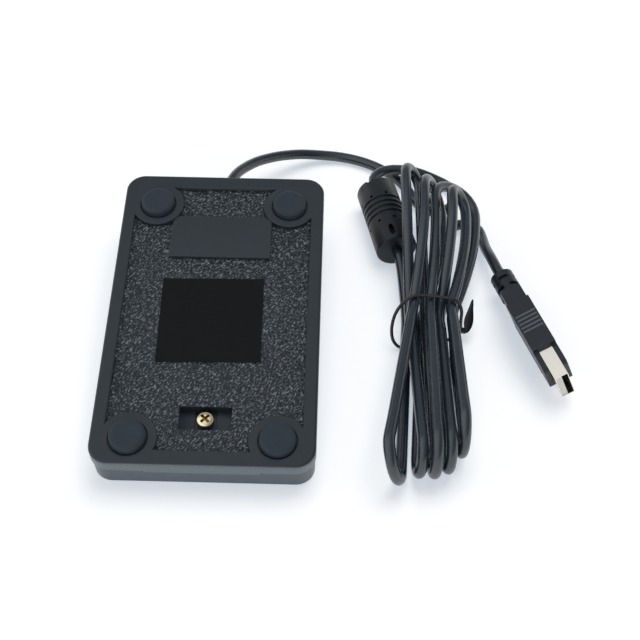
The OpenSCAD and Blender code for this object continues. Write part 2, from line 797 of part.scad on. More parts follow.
// Point of a run at s, from -1 at its near leg through 0 at the waist to 1 at its far leg; a leg is [x, z, y]
function run_point(i, near, far, s) = let(end = s < 0 ? near : far,
        x = waist_x + slots[i][0], z = waist_rows[slots[i][1]]) [
    x + (end[0] - x) * share(s),
    waist_y + (end[2] - waist_y) * abs(s),
    z + (end[1] - z) * rise_share(s, end[1] < z)];
function run(i, near, far, from, to) = [for (k = [0 : run_steps - 1])
    run_point(i, near, far, from + (to - from) * k / run_steps)];
function leg(place, which) = [place[which][0], place[which][1], place[2]];
// Points of a fold from its first leg to its second; way is -1 near, 1 far
function fold(place, way) = let(middle = (place[0] + place[1]) / 2, half = (place[1] - place[0]) / 2)
    [for (k = [0 : fold_steps - 1]) let(turn = 180 * k / fold_steps, at = middle - half * cos(turn))
        [at[0], place[2] + way * norm(half) * sin(turn), at[1]]];
function run_in(i) = run(2 * i, leg(near_folds[i], 0), leg(far_folds[max(i - 1, 0)], 1), i == 0 ? 0 : 1, -1);
function run_out(i, far, to) = run(2 * i + 1, leg(near_folds[i], 1), far, -1, to);
function whole_loop(i) = concat(run_in(i), fold(near_folds[i], -1), run_out(i, leg(far_folds[i], 0), 1),
    fold(far_folds[i], 1));
last_i = len(near_folds) - 1;
hank_end = run_point(2 * last_i + 1, leg(near_folds[last_i], 1), tail_leg, last_s);
hank_path = concat([bead_near, bead_near + stub * bead_way], link_points,
    [for (i = [0 : last_i - 1]) each whole_loop(i)],
    run_in(last_i), fold(near_folds[last_i], -1), run_out(last_i, tail_leg, last_s), [hank_end]);
hank_way = heading(hank_path, len(hank_path) - 1);

room_parts = 4;
room_steps = 4;
echo(hank_room = path_room(finer(hank_path, room_parts), cable_d, room_parts * room_steps));

module cable_hank() { color("#25282c") tube(hank_path, cable_d, hank_sides, [0.9, 0, 0.4]); }

// Wire tie round the waist, with its twist and flat tail
tie_d = 1.1;
tie_sides = 6;
tie_points = [
    [80.4, 4.4, 5], [80.3, 5.4, 8], [80.2, 6.8, 11.6], [78.4, 8, 14.9], [73.4, 8.8, 15.6], [68, 9.4, 15.6],
    [63.6, 8.9, 15.4], [60.6, 7.3, 13.6], [58.3, 4.6, 11], [57.4, 1.5, 7], [58.2, -0.3, 3.4], [60.4, -0.9, 1],
    [64, -0.4, 0.75], [70, 1.2, 0.75], [75.6, 2.6, 0.75], [78.9, 3.6, 1.4], [80.3, 4.1, 3.8]];

module hank_tie() {
    twist_l = 2.2;
    twist_d = 2 * tie_d;
    leaf = [2.6, 11.6, 0.6];
    color("#1f2225") {
        tube(tie_points, tie_d, tie_sides, [0.3, 1, 0.2]);
        translate([80.1, 4.3, 4.4]) rotate([0, 90, -10]) cylinder(h = twist_l, d = twist_d);
        translate([82.3, 3.6, 4]) rotate([24, 20, -9]) translate([-leaf[0] / 2, 0, 0]) cube(leaf);
    }
}

plug_rear = [95.2, 25.1, 8];
plug_way = unit([16.4, -46.5, 1.2]);
plug_lean = 22;
// The tail turns round on the ground under the far folds
turn_at = [84.2, 49];
turn_r = 6.2;
turn_steps = 6;
turn_rise = 1;
tail_points = concat(
    [for (k = [0 : turn_steps]) let(turn = 180 - 180 * k / turn_steps)
        [turn_at[0] + turn_r * cos(turn), turn_at[1] + turn_r * sin(turn), ground_z + turn_rise * k / turn_steps]],
    [[91.2, 41.6, 4.8], [92.6, 34, 7.2]]);
tail_path = concat([hank_end, hank_end + stub * hank_way, [tail_leg[0], tail_leg[2], tail_leg[1]]], tail_points,
    [plug_rear - stub * plug_way, plug_rear]);

module cable_tail() { color("#25282c") tube(tail_path, cable_d, cable_sides, [0, 0, 1]); }

// Plug, drawn along its own x from the cable to the tip, with its wide side upright
boot_l = 9.5;
boot_d = 8;
neck_l = 7;
neck_w = 12.4;
neck_t = 7;
shell_w = 12;
shell_t = 4.5;
shell_wall = 0.3;
shell_in = 6;
grip_from = boot_l + neck_l;
grip_end = grip_from + grip_l;
shell_end = grip_end + shell_out;
tongue_t = 1.9;
tongue_y = -shell_t / 2 + shell_wall + seat_gap;

module at_plug() { along(plug_rear, plug_way) rotate([plug_lean, 0, 0]) children(); }

module beam(x0, x1, t, w) { translate([x0, -t / 2, -w / 2]) cube([x1 - x0, t, w]); }

// A lip on the grip's wide face that reaches over the shell, with round corners
module plug_lip(thick) {
    lip_l = 7.8;
    lip_w = grip_w - 3;
    lip_r = 2;
    beam(0, lip_l - lip_r, thick, lip_w);
    beam(0, lip_l, thick, lip_w - 2 * lip_r);
    for (sz = [-1, 1]) translate([lip_l - lip_r, thick / 2, sz * (lip_w / 2 - lip_r)]) rotate([90, 0, 0])
        cylinder(h = thick, r = lip_r);
}

module plug_grip() {
    slot_rows = [2.4, 6];
    slot_l = 1.3;
    slot_w = 3.6;
    slot_deep = 1.2;
    rib_n = 5;
    rib_pitch = 1.6;
    rib_from = 6;
    rib_l = 0.7;
    rib_h = 0.25;
    lip_t = (grip_t - shell_t) / 2 - seat_gap;
    color("#26292d") at_plug() difference() {
        union() {
            rotate([0, 90, 0]) cylinder(h = boot_l + bite, d = boot_d);
            beam(boot_l, grip_from + bite, neck_t, neck_w);
            beam(grip_from, grip_end, grip_t, grip_w);
            for (sy = [-1, 1]) translate([grip_end - bite, sy * (grip_t - lip_t) / 2, 0]) plug_lip(lip_t);
            for (i = [0 : rib_n - 1]) translate([grip_from + rib_from + i * rib_pitch, 0, 0])
                beam(0, rib_l, grip_t - 1, grip_w + 2 * rib_h);
        }
        beam(grip_end - shell_in - seat_gap, grip_end + cut, shell_t + 2 * seat_gap, shell_w + 2 * seat_gap);
        for (row = [0, 1], turn = [0 : 90 : 270]) rotate([turn + 45 * row, 0, 0])
            translate([slot_rows[row], -slot_w / 2, boot_d / 2 - slot_deep])
                cube([slot_l, slot_w, slot_deep + cut]);
    }
}

module plug_shell() {
    window = 2.2;
    window_x = shell_end - 6.6;
    window_z = 2.9;
    color("#d5d7d9") at_plug() difference() {
        beam(grip_end - shell_in, shell_end, shell_t, shell_w);
        beam(grip_end - shell_in - cut, shell_end + cut, shell_t - 2 * shell_wall, shell_w - 2 * shell_wall);
        for (sz = [-1, 1]) translate([window_x, 0, sz * window_z]) beam(0, window, shell_t + cut, window);
    }
}

module plug_tongue() {
    tongue_w = shell_w - 2 * shell_wall - 2 * seat_gap;
    sunk = 0.4;
    color("#f0efea") at_plug() translate([grip_end - shell_in + cut, tongue_y, -tongue_w / 2])
        cube([shell_in + shell_out - cut - sunk, tongue_t, tongue_w]);
}

module plug_contacts() {
    pad_t = 0.15;
    pad_w = 1.1;
    pad_l = shell_out - 2.6;
    pads = [-3.5, -1, 1, 3.5];
    color("#d8b75a") at_plug() for (z = pads) translate([grip_end + cut, tongue_y + tongue_t, z - pad_w / 2])
        cube([pad_l, pad_t, pad_w]);
}

base_tray();
foot(foot_places[0]);  // foot_cable_left
foot(foot_places[1]);  // foot_cable_right
foot(foot_places[2]);  // foot_heel_left
foot(foot_places[3]);  // foot_heel_right
label_sticker();
pedal_cover();
retaining_screw();
hinge_pin(-1);  // hinge_pin_left
hinge_pin(1);  // hinge_pin_right
return_spring();
circuit_board();
board_screws();
switch_body();
switch_terminals();
switch_lever();
switch_plunger();
controller_chip();
crystal_can();
filter_capacitor();
wire_header();
inner_leads();
cable_relief();
cable_lead();
bead_cover();
bead_core();
cable_hank();
hank_tie();
cable_tail();
plug_grip();
plug_shell();
plug_tongue();
plug_contacts();
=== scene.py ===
"""Looks for a USB foot pedal switch that lies on its tread, underside up, with its cable tied in a hank."""

import logging
import math
from dataclasses import dataclass
from enum import Enum
from functools import lru_cache
from typing import Callable, ClassVar, Sequence

import bmesh
import bpy
from mathutils import Matrix, Vector


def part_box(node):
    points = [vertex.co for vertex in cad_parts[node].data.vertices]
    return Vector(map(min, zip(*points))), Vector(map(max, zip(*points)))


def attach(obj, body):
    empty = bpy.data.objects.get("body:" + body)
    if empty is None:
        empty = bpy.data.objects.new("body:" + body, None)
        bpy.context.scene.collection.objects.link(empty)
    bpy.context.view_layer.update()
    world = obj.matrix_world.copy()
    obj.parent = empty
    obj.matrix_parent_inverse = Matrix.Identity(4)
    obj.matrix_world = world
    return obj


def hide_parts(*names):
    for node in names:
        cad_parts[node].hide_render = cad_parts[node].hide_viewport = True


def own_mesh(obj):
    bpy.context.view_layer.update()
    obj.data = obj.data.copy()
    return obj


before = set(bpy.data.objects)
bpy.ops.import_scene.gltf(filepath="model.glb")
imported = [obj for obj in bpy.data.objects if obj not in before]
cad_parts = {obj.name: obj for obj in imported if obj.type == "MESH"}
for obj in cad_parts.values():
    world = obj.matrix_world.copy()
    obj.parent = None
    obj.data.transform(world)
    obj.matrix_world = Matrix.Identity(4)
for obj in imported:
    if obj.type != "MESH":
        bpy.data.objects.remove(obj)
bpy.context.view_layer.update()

LOG = logging.getLogger("foot_pedal")

Point = tuple[float, float, float]
Colour = tuple[float, float, float]
Span = tuple[float, float]
Socket = bpy.types.NodeSocket
Piece = bpy.types.Object
Shape = bmesh.types.BMesh

WHITE: Colour = (1.0, 1.0, 1.0)
UP = Vector((0.0, 0.0, 1.0))

# The body lies on its tread, so the underside rim is tilted and lifted by this much
TILT = math.radians(6.0)
LAY = Vector((0.0, -0.001093, 0.01883))
BASE_LIE = Matrix.Translation(LAY) @ Matrix.Rotation(TILT, 4, "X")
TO_BASE = BASE_LIE.inverted()
UNDERSIDE_NORMAL = Vector((0.0, -math.sin(TILT), math.cos(TILT)))
ACROSS = Vector((1.0, 0.0, 0.0))
ALONG = Vector((0.0, math.cos(TILT), math.sin(TILT)))
HALF_WIDTH = 0.034
HALF_LENGTH = 0.0555
CORNER = 0.0063
RECESS_DEPTH = 0.0013

# How near a level or the outline a point counts as on it, and what is welded, flat and sharp
LEVEL_SLACK = 0.00006
OUTLINE_SLACK = 0.0001
WELD = 2e-6
FLAT_ANGLE = math.radians(0.5)
SHARP_ANGLE = math.radians(30)


class Body(Enum):
    """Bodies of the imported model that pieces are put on."""

    BASE = "base"
    PEDAL = "pedal"


def srgb(red: int, green: int, blue: int) -> Colour:
    """A screen colour of 0 to 255 as the linear colour that shaders take.

    Args:
        red: Red on the screen.
        green: Green on the screen.
        blue: Blue on the screen.

    Returns:
        The linear red, green and blue.
    """
    def linear(value: int) -> float:
        """One channel, made linear."""
        share = value / 255
        return share / 12.92 if share <= 0.04045 else ((share + 0.055) / 1.055) ** 2.4

    return linear(red), linear(green), linear(blue)


class Graph:
    """The node tree of a material or a world, with short calls that add and join nodes."""

    def __init__(self, owner: bpy.types.Material | bpy.types.World, shader: str = "Principled BSDF") -> None:
        """Starts from the shader that the tree has already.

        Args:
            owner: The material or the world.
            shader: That shader's name.
        """
        owner.use_nodes = True
        self.tree = owner.node_tree
        self.shader = self.tree.nodes[shader]

    def add(self, kind: str, values: dict | None = None, **settings: object) -> bpy.types.Node:
        """Adds a node.

        Args:
            kind: The node's type name, without its ShaderNode prefix.
            values: Socket values by name or number. A socket of another node is joined to it.
            **settings: Properties of the node itself.

        Returns:
            The new node.
        """
        node = self.tree.nodes.new("ShaderNode" + kind)
        for key, value in settings.items():
            setattr(node, key, value)
        for key, value in (values or {}).items():
            self.give(node.inputs[key], value)
        return node

    def give(self, socket: Socket, value: object) -> None:
        """Sets a socket, or joins it to the socket of another node.

        Args:
            socket: The socket that takes it.
            value: A plain value, or the other socket.
        """
        if isinstance(value, Socket):
            self.tree.links.new(value, socket)
        else:
            socket.default_value = value

    def set(self, **sockets: object) -> None:
        """Sets the shader's sockets, given with underscores for spaces."""
        for key, value in sockets.items():
            self.give(self.shader.inputs[key.replace("_", " ")], value)

    def so_far(self, socket: str) -> Socket:
        """What the shader's socket is joined to so far."""
        return self.shader.inputs[socket].links[0].from_socket

    def place(self) -> Socket:
        """The point's place in the part's own frame, in metres."""
        return self.add("TexCoord").outputs["Object"]

    def seen(self) -> Socket:
        """Tells what the camera sees, itself or in a mirror or glass.

        Returns:
            A socket that is 1 for what is seen and 0 for the rest.
        """
        path = self.add("LightPath")
        total = path.outputs["Is Camera Ray"]
        for name in ("Is Glossy Ray", "Is Transmission Ray"):
            total = self.math("MAXIMUM", total, path.outputs[name])
        return total

    def noise(self, size: float, detail: float, place: Socket | None = None) -> Socket:
        """Soft noise with features of a given size.

        Args:
            size: Size of its features in metres.
            detail: How many finer layers it has.
            place: Where it is looked up. The part's own frame if left out.

        Returns:
            The noise's value socket, from 0 to 1.
        """
        values = {"Vector": place or self.place(), "Scale": 1 / size, "Detail": detail}
        return self.add("TexNoise", values).outputs[0]

    def remap(self, value: Socket, low: float, high: float, to_low: float, to_high: float) -> Socket:
        """Maps a value from one span to another, and keeps it inside."""
        values = {"Value": value, "From Min": low, "From Max": high, "To Min": to_low, "To Max": to_high}
        return self.add("MapRange", values).outputs[0]

    def math(self, operation: str, first: Socket | float, second: Socket | float = 0.0) -> Socket:
        """One sum on two values or sockets."""
        return self.add("Math", {0: first, 1: second}, operation=operation).outputs[0]

    def join(self, operation: str, first: Socket, second: Socket | Sequence[float]) -> Socket:
        """One sum on two vectors that gives a vector."""
        return self.add("VectorMath", {0: first, 1: second}, operation=operation).outputs["Vector"]

    def dot(self, value: Socket, way: Vector) -> Socket:
        """How far a vector goes along a fixed way."""
        return self.add("VectorMath", {0: value, 1: way}, operation="DOT_PRODUCT").outputs["Value"]

    def mix(self, share: Socket, first: Socket | Colour, second: Socket | Colour) -> Socket:
        """A colour between two others.

        Args:
            share: How much of the second it has, from 0 to 1.
            first: A linear colour or its socket.
            second: A linear colour or its socket.

        Returns:
            The colour's socket.
        """
        ends = [end if isinstance(end, Socket) else (*end, 1.0) for end in (first, second)]
        return self.add("Mix", {0: share, 6: ends[0], 7: ends[1]}, data_type="RGBA").outputs[2]

    def shade(self, colour: Colour, drift: Socket, spread: float) -> Socket:
        """A colour that drifts darker and lighter.

        Args:
            colour: Linear colour in the middle.
            drift: Value from 0 to 1 that says where it is darker or lighter.
            spread: How far it goes each way, as a share of the colour.

        Returns:
            The colour's socket.
        """
        dark, light = (tuple(channel * share for channel in colour) for share in (1 - spread, 1 + spread))
        return self.mix(drift, dark, light)

    def bump(self, height: Socket, depth: float, under: Socket | None = None) -> Socket:
        """Relief from a height of 0 to 1.

        Args:
            height: The height's socket.
            depth: How deep a height of 1 is, in metres.
            under: A relief that this one lies on.

        Returns:
            The normal's socket.
        """
        values = {"Height": height, "Distance": depth, "Strength": 1.0}
        if under is not None:
            values["Normal"] = under
        return self.add("Bump", values).outputs[0]


@dataclass(frozen=True)
class Finish:
    """A moulded surface: a colour that drifts a little, a fine skin, paler edges that are partly wear where
    it is rubbed and partly a painted highlight, and where given a lighter colour on the outer sides that is
    painted light.
    """

    name: str
    colour: Colour
    roughness: float
    specular: float = 0.4
    drift: float = 0.1
    drift_size: float = 0.009
    gloss_drift: float = 0.05
    skin_size: float = 0.00022
    skin_depth: float = 0.000012
    # Strength of the pale edges: partly wear, partly a painted highlight
    wear_and_highlight: float = 0.0
    # A lighter colour painted on the outer sides, for the light that they catch
    side: Colour | None = None

    # Where most values of a noise lie
    MOST_NOISE: ClassVar[Span] = (0.3, 0.7)
    # How flat a face lies, and how far out it is, where the painted light of the sides gives way
    LIT_SIDE_TURN: ClassVar[Span] = (0.2, 0.7)
    LIT_SIDE_REACH: ClassVar[Span] = (0.95, 0.96)
    # How sharp an edge is where the pale edge, partly wear and partly a painted highlight, sets in and is
    # full, how large its patches are, and how pale
    WEAR_HIGHLIGHT_EDGE: ClassVar[Span] = (0.52, 0.6)
    WEAR_HIGHLIGHT_PATCH: ClassVar[float] = 0.0015
    WEAR_HIGHLIGHT_GAIN: ClassVar[float] = 3.0
    WEAR_HIGHLIGHT_LIFT: ClassVar[float] = 0.02

    def dress(self, graph: Graph) -> None:
        """Fills in the shader.

        Args:
            graph: The material's node tree.
        """
        drift = graph.noise(self.drift_size, detail=4.0)
        colour = graph.shade(self.colour, drift, self.drift)
        # The outer sides take a lighter colour: painted light
        if self.side:
            colour = self.paint_side_light(graph, colour, graph.shade(self.side, drift, self.drift))
        # Paler edges: partly wear, partly a painted highlight
        if self.wear_and_highlight:
            colour = self.paint_wear_and_highlight(graph, colour)
        skin = graph.noise(self.skin_size, detail=3.0)
        cloud = graph.noise(self.drift_size / 3, detail=3.0)
        graph.set(Base_Color=colour, Roughness=self.gloss(graph, cloud), Specular_IOR_Level=self.specular,
                  Normal=graph.bump(skin, self.skin_depth))

    def gloss(self, graph: Graph, cloud: Socket) -> Socket:
        """A roughness that drifts with a cloudy noise."""
        low, high = self.roughness - self.gloss_drift, self.roughness + self.gloss_drift
        return graph.remap(cloud, *self.MOST_NOISE, low, high)

    def paint_side_light(self, graph: Graph, colour: Socket, side: Socket) -> Socket:
        """Paints light on the body's outer sides, which stand across the underside: a lighter colour there
        stands in for the light that they catch.

        Args:
            graph: The material's node tree.
            colour: The colour of the rest.
            side: The lighter colour painted on the sides, for their light.

        Returns:
            The colour's socket.
        """
        turned = graph.dot(graph.add("NewGeometry").outputs["Normal"], UNDERSIDE_NORMAL)
        upright = graph.remap(graph.math("ABSOLUTE", turned), *self.LIT_SIDE_TURN, 1.0, 0.0)
        place = graph.place()
        across = graph.math("ABSOLUTE", graph.dot(place, ACROSS / HALF_WIDTH))
        along = graph.math("SUBTRACT", graph.dot(place, ALONG / HALF_LENGTH), ALONG.dot(LAY) / HALF_LENGTH)
        reach = graph.math("MAXIMUM", across, graph.math("ABSOLUTE", along))
        share = graph.math("MULTIPLY", upright, graph.remap(reach, *self.LIT_SIDE_REACH, 0.0, 1.0))
        return graph.mix(share, colour, side)

    def paint_wear_and_highlight(self, graph: Graph, colour: Socket) -> Socket:
        """Lightens the outer edges: partly wear where hands and tables rub them, partly a painted highlight.

        Args:
            graph: The material's node tree.
            colour: The colour before.

        Returns:
            The colour's socket.
        """
        edge = graph.remap(graph.add("NewGeometry").outputs["Pointiness"], *self.WEAR_HIGHLIGHT_EDGE, 0.0, self.wear_and_highlight)
        patchy = graph.math("MULTIPLY", edge, graph.noise(self.WEAR_HIGHLIGHT_PATCH, detail=3.0))
        pale = tuple(min(1.0, channel * self.WEAR_HIGHLIGHT_GAIN + self.WEAR_HIGHLIGHT_LIFT) for channel in self.colour)
        return graph.mix(patchy, colour, pale)

    def material(self) -> bpy.types.Material:
        """The material, made once."""
        return made(self)


@lru_cache(maxsize=None)
def made(finish: Finish) -> bpy.types.Material:
    """Makes a finish's material.

    Args:
        finish: The finish.

    Returns:
        Its material.
    """
    material = bpy.data.materials.new(finish.name)
    finish.dress(Graph(material))
    return material


@dataclass(frozen=True)
class GrainedTray(Finish):
    """Satin plastic whose recess has a pebbled grain, told from the rim by its depth under the rim, with
    painted glints on the grain's crests and painted shade in its hollows.
    """

    pebble_size: float = 0.0011
    pebble_warp: float = 0.00088
    pebble_soft: float = 0.35
    pebble_span: Span = (0.05, 0.75)
    pebble_depth: float = 0.0005
    stroke_size: float = 0.00046
    stroke_stretch: float = 2.0
    stroke_turn: float = math.radians(48)
    # Painted glint on the grain's crests and painted shade in its hollows, with the spans of the strokes
    # where they set in
    crest_glint: Colour = srgb(124, 129, 133)
    crest_glint_span: Span = (0.54, 0.72)
    hollow_shade: Colour = srgb(26, 31, 36)
    hollow_shade_span: Span = (0.48, 0.36)

    # How far from the recess's floor the grain is whole, and how far it is gone
    WHOLE: ClassVar[float] = 0.00004
    GONE: ClassVar[float] = 0.00012

    def dress(self, graph: Graph) -> None:
        """Fills in the shader.

        Args:
            graph: The material's node tree.
        """
        super().dress(graph)
        place = graph.place()
        grained = self.grained(graph, place)
        stroke = self.strokes(graph, place)
        colour = graph.so_far("Base Color")
        # Painted shade in the hollows, then painted glints on the crests
        for tone, span in ((self.hollow_shade, self.hollow_shade_span), (self.crest_glint, self.crest_glint_span)):
            share = graph.math("MULTIPLY", graph.remap(stroke, *span, 0.0, 1.0), grained)
            colour = graph.mix(share, colour, tone)
        height = graph.math("MULTIPLY", graph.math("ADD", self.pebbles(graph, place), stroke), grained)
        graph.set(Base_Color=colour, Normal=graph.bump(height, self.pebble_depth, graph.so_far("Normal")))

    def grained(self, graph: Graph, place: Socket) -> Socket:
        """Tells the recess's floor from the rest.

        Args:
            graph: The material's node tree.
            place: The point's place.

        Returns:
            A socket that is 1 on the floor and 0 elsewhere.
        """
        depth = graph.math("SUBTRACT", UNDERSIDE_NORMAL.dot(LAY), graph.dot(place, UNDERSIDE_NORMAL))
        off = graph.math("ABSOLUTE", graph.math("SUBTRACT", depth, RECESS_DEPTH))
        return graph.remap(off, self.WHOLE, self.GONE, 1.0, 0.0)

    def pebbles(self, graph: Graph, place: Socket) -> Socket:
        """Round pebbles, shifted a little so that they lie in no rows.

        Args:
            graph: The material's node tree.
            place: Where they are looked up.

        Returns:
            Their height's socket, from 0 to 1.
        """
        scale = 1 / self.pebble_size
        warp = graph.add("TexNoise", {"Vector": place, "Scale": scale, "Detail": 2.0}).outputs["Color"]
        moved = graph.join("ADD", place, graph.join("MULTIPLY", warp, (self.pebble_warp,) * 3))
        cells = graph.add("TexVoronoi", {"Vector": moved, "Scale": scale, "Smoothness": self.pebble_soft},
                          feature="SMOOTH_F1")
        return graph.remap(cells.outputs["Distance"], *self.pebble_span, 1.0, 0.0)

    def strokes(self, graph: Graph, place: Socket) -> Socket:
        """Short slanted strokes, from 0 in the hollows to 1 on the crests."""
        stretched = graph.add("Mapping", {"Vector": place, "Rotation": (0.0, 0.0, self.stroke_turn),
                                          "Scale": (self.stroke_stretch, 1.0, 1.0)}, vector_type="TEXTURE")
        return graph.noise(self.stroke_size, detail=1.0, place=stretched.outputs[0])


@dataclass(frozen=True)
class RibbedGrip(Finish):
    """Satin plastic whose ribs, which stand out either side of a middle plane, have pale crowns: a painted
    highlight along their tops.
    """

    middle: Point = (0.0, 0.0, 0.0)
    across: Point = (0.0, 0.0, 1.0)
    # Where on the ribs the painted highlight lies, and its colour
    crown_highlight_span: Span = (0.00742, 0.0075)
    crown_highlight: Colour = srgb(80, 85, 90)

    def dress(self, graph: Graph) -> None:
        """Fills in the shader.

        Args:
            graph: The material's node tree.
        """
        super().dress(graph)
        across = Vector(self.across)
        # The ribs' tops take a painted highlight
        out = graph.math("SUBTRACT", graph.dot(graph.place(), across), across.dot(Vector(self.middle)))
        share = graph.remap(graph.math("ABSOLUTE", out), *self.crown_highlight_span, 0.0, 1.0)
        graph.set(Base_Color=graph.mix(share, graph.so_far("Base Color"), self.crown_highlight))


@dataclass(frozen=True)
class Metal(Finish):
    """Bare or plated metal with fine draw marks."""

    gloss_drift: float = 0.08

    def dress(self, graph: Graph) -> None:
        """Fills in the shader.

        Args:
            graph: The material's node tree.
        """
        marks = graph.noise(self.skin_size, detail=4.0)
        cloud = graph.noise(self.drift_size, detail=3.0)
        graph.set(Base_Color=graph.shade(self.colour, cloud, self.drift), Metallic=1.0,
                  Roughness=self.gloss(graph, cloud), Normal=graph.bump(marks, self.skin_depth))


@dataclass(frozen=True)
class Laminate(Finish):
    """Board with solder mask over copper tracks."""

    track_pitch: float = 0.0016
    track_edge: Span = (0.05, 0.09)
    track_tone: float = 0.35

    def dress(self, graph: Graph) -> None:
        """Fills in the shader.

        Args:
            graph: The material's node tree.
        """
        cells = graph.add("TexVoronoi", {"Vector": graph.place(), "Scale": 1 / self.track_pitch},
                          distance="CHEBYCHEV", feature="DISTANCE_TO_EDGE")
        track = graph.remap(cells.outputs["Distance"], *self.track_edge, 1.0, 0.0)
        graph.set(Base_Color=graph.shade(self.colour, track, self.track_tone), Roughness=self.roughness,
                  Specular_IOR_Level=self.specular, Normal=graph.bump(track, self.skin_depth))


class Finishes:
    """Every finish on the object."""

    # The lighter side colours here are painted light, and the pale edges partly wear, partly a painted
    # highlight
    TRAY = GrainedTray("tray_satin", srgb(36, 42, 48), 0.38, 0.45, wear_and_highlight=0.2, side=srgb(101, 112, 121))
    PEDAL = Finish("pedal_satin", srgb(38, 45, 51), 0.36, 0.45, wear_and_highlight=0.2, side=srgb(74, 84, 93))
    FOOT = Finish("foot_rubber", srgb(40, 48, 55), 0.6, 0.4, drift=0.16, drift_size=0.003,
                  skin_depth=0.00002, wear_and_highlight=0.5)
    LABEL = Finish("label_film", srgb(12, 14, 15), 0.3, 0.15, skin_size=0.0012, skin_depth=0.000006)
    SCREW = Metal("screw_brass", srgb(255, 242, 204), 0.17, drift=0.06, drift_size=0.0016,
                  gloss_drift=0.04, skin_depth=0.000004)
    # Darker and browner inside the screw's cross recess: painted shade
    RECESS_SHADE = Metal("screw_recess_shade", srgb(150, 124, 62), 0.4, skin_depth=0.000004)
    STEEL = Metal("bright_steel", srgb(190, 192, 195), 0.3, skin_depth=0.000004)
    BOARD = Laminate("board_mask", srgb(38, 84, 52), 0.38, 0.5, skin_depth=0.00003)
    SWITCH = Finish("switch_black", srgb(34, 36, 38), 0.45)
    TERMINAL = Metal("tinned_brass", srgb(206, 190, 140), 0.34, skin_depth=0.000004)
    CREAM = Finish("cream_nylon", srgb(226, 222, 208), 0.42)
    CAN = Metal("can_steel", srgb(200, 202, 204), 0.22, skin_depth=0.000003)
    JACKET = Finish("cable_jacket", srgb(28, 39, 48), 0.26, 0.9, drift=0.08, drift_size=0.012,
                    skin_size=0.0005, skin_depth=0.00001)
    BEAD = Finish("bead_satin", srgb(17, 22, 28), 0.42, 0.4, wear_and_highlight=0.2)
    # Near black inside the bead's pin holes, slot and notch: painted shade in the hollows
    PIN_HOLE_SHADE = Finish("bead_pin_hole_shade", srgb(5, 6, 8), 0.6, 0.2)
    FERRITE = Finish("bead_ferrite", srgb(62, 63, 66), 0.6, drift=0.2, drift_size=0.0015, skin_depth=0.00003)
    TIE = Finish("tie_sleeve", srgb(14, 17, 20), 0.32, 0.7)
    SHELL = Metal("shell_nickel", srgb(238, 234, 226), 0.2, drift=0.04, gloss_drift=0.05,
                  skin_depth=0.000003)
    TONGUE = Finish("tongue_white", srgb(236, 234, 228), 0.4)
    CONTACT = Metal("contact_gold", srgb(226, 186, 92), 0.25, skin_depth=0.000003)
    LEADS = (Finish("lead_red", srgb(176, 44, 40), 0.4), Finish("lead_white", srgb(224, 222, 216), 0.4),
             Finish("lead_green", srgb(44, 132, 66), 0.4), Finish("lead_black", srgb(32, 34, 36), 0.4))


@dataclass(frozen=True)
class Rounding:
    """Which sharp edges are rounded, by how much, and in how many steps."""

    radius: float
    steps: int
    picks: Callable[[Vector], bool]


def on_outside(point: Vector, inset: float = 0.0) -> bool:
    """Whether a point is on the body's outside.

    Args:
        point: The point, in the base's frame.
        inset: How far the outside stands back there from the rim's.

    Returns:
        Whether it is.
    """
    reach_x = max(abs(point.x) - (HALF_WIDTH - CORNER), 0.0)
    reach_y = max(abs(point.y) - (HALF_LENGTH - CORNER), 0.0)
    return math.hypot(reach_x, reach_y) > CORNER - inset - OUTLINE_SLACK


def over(node: str, height: float) -> Matrix:
    """The lie of a piece that stands square to the underside, over a solid's middle.

    Args:
        node: The solid.
        height: How far above the underside's rim its origin lies.

    Returns:
        The matrix from its own frame.
    """
    low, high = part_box(node)
    middle = TO_BASE @ ((low + high) / 2)
    return BASE_LIE @ Matrix.Translation((middle.x, middle.y, height))


def linked(name: str, data: bpy.types.ID) -> Piece:
    """Puts a new object in the scene.

    Args:
        name: Its name.
        data: Its mesh, curve, lamp or camera.

    Returns:
        The object.
    """
    piece = bpy.data.objects.new(name, data)
    bpy.context.scene.collection.objects.link(piece)
    return piece


def looking(place: Point, aim: Point) -> Matrix:
    """The lie of a camera or a lamp at a place, turned to look at another."""
    turn = (Vector(aim) - Vector(place)).to_track_quat("-Z", "Y")
    return Matrix.Translation(place) @ turn.to_matrix().to_4x4()


def settle(piece: Piece, body: Body, slot: str, *nodes: str) -> Piece:
    """Puts a finished piece on its body, in place of the solids that it stands for.

    Args:
        piece: The piece, in place.
        body: What it rides on.
        slot: The record's material slot. It is not used.
        *nodes: The solids that it replaces.

    Returns:
        The same piece.
    """
    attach(piece, body.value)
    if nodes:
        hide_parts(*nodes)
    LOG.info("%s rides on %s and stands for %s", piece.name, body.value, ", ".join(nodes) or "itself")
    return piece


def piece_of(name: str, shape: Shape, finish: Finish) -> Piece:
    """Makes an object of a shape, smooth but for its sharp edges.

    Args:
        name: The piece's name.
        shape: Its shape, which is used up.
        finish: Its finish.

    Returns:
        The object.
    """
    mesh = bpy.data.meshes.new(name)
    bmesh.ops.recalc_face_normals(shape, faces=shape.faces)
    shape.to_mesh(mesh)
    shape.free()
    mesh.polygons.foreach_set("use_smooth", [True] * len(mesh.polygons))
    mesh.set_sharp_from_angle(angle=SHARP_ANGLE)
    mesh.materials.append(finish.material())
    return linked(name, mesh)


def weigh_normals(piece: Piece) -> None:
    """Lets large flat faces keep their flat shading beside rounded edges."""
    modifier = piece.modifiers.new("flat_faces", "WEIGHTED_NORMAL")
    modifier.keep_sharp = True


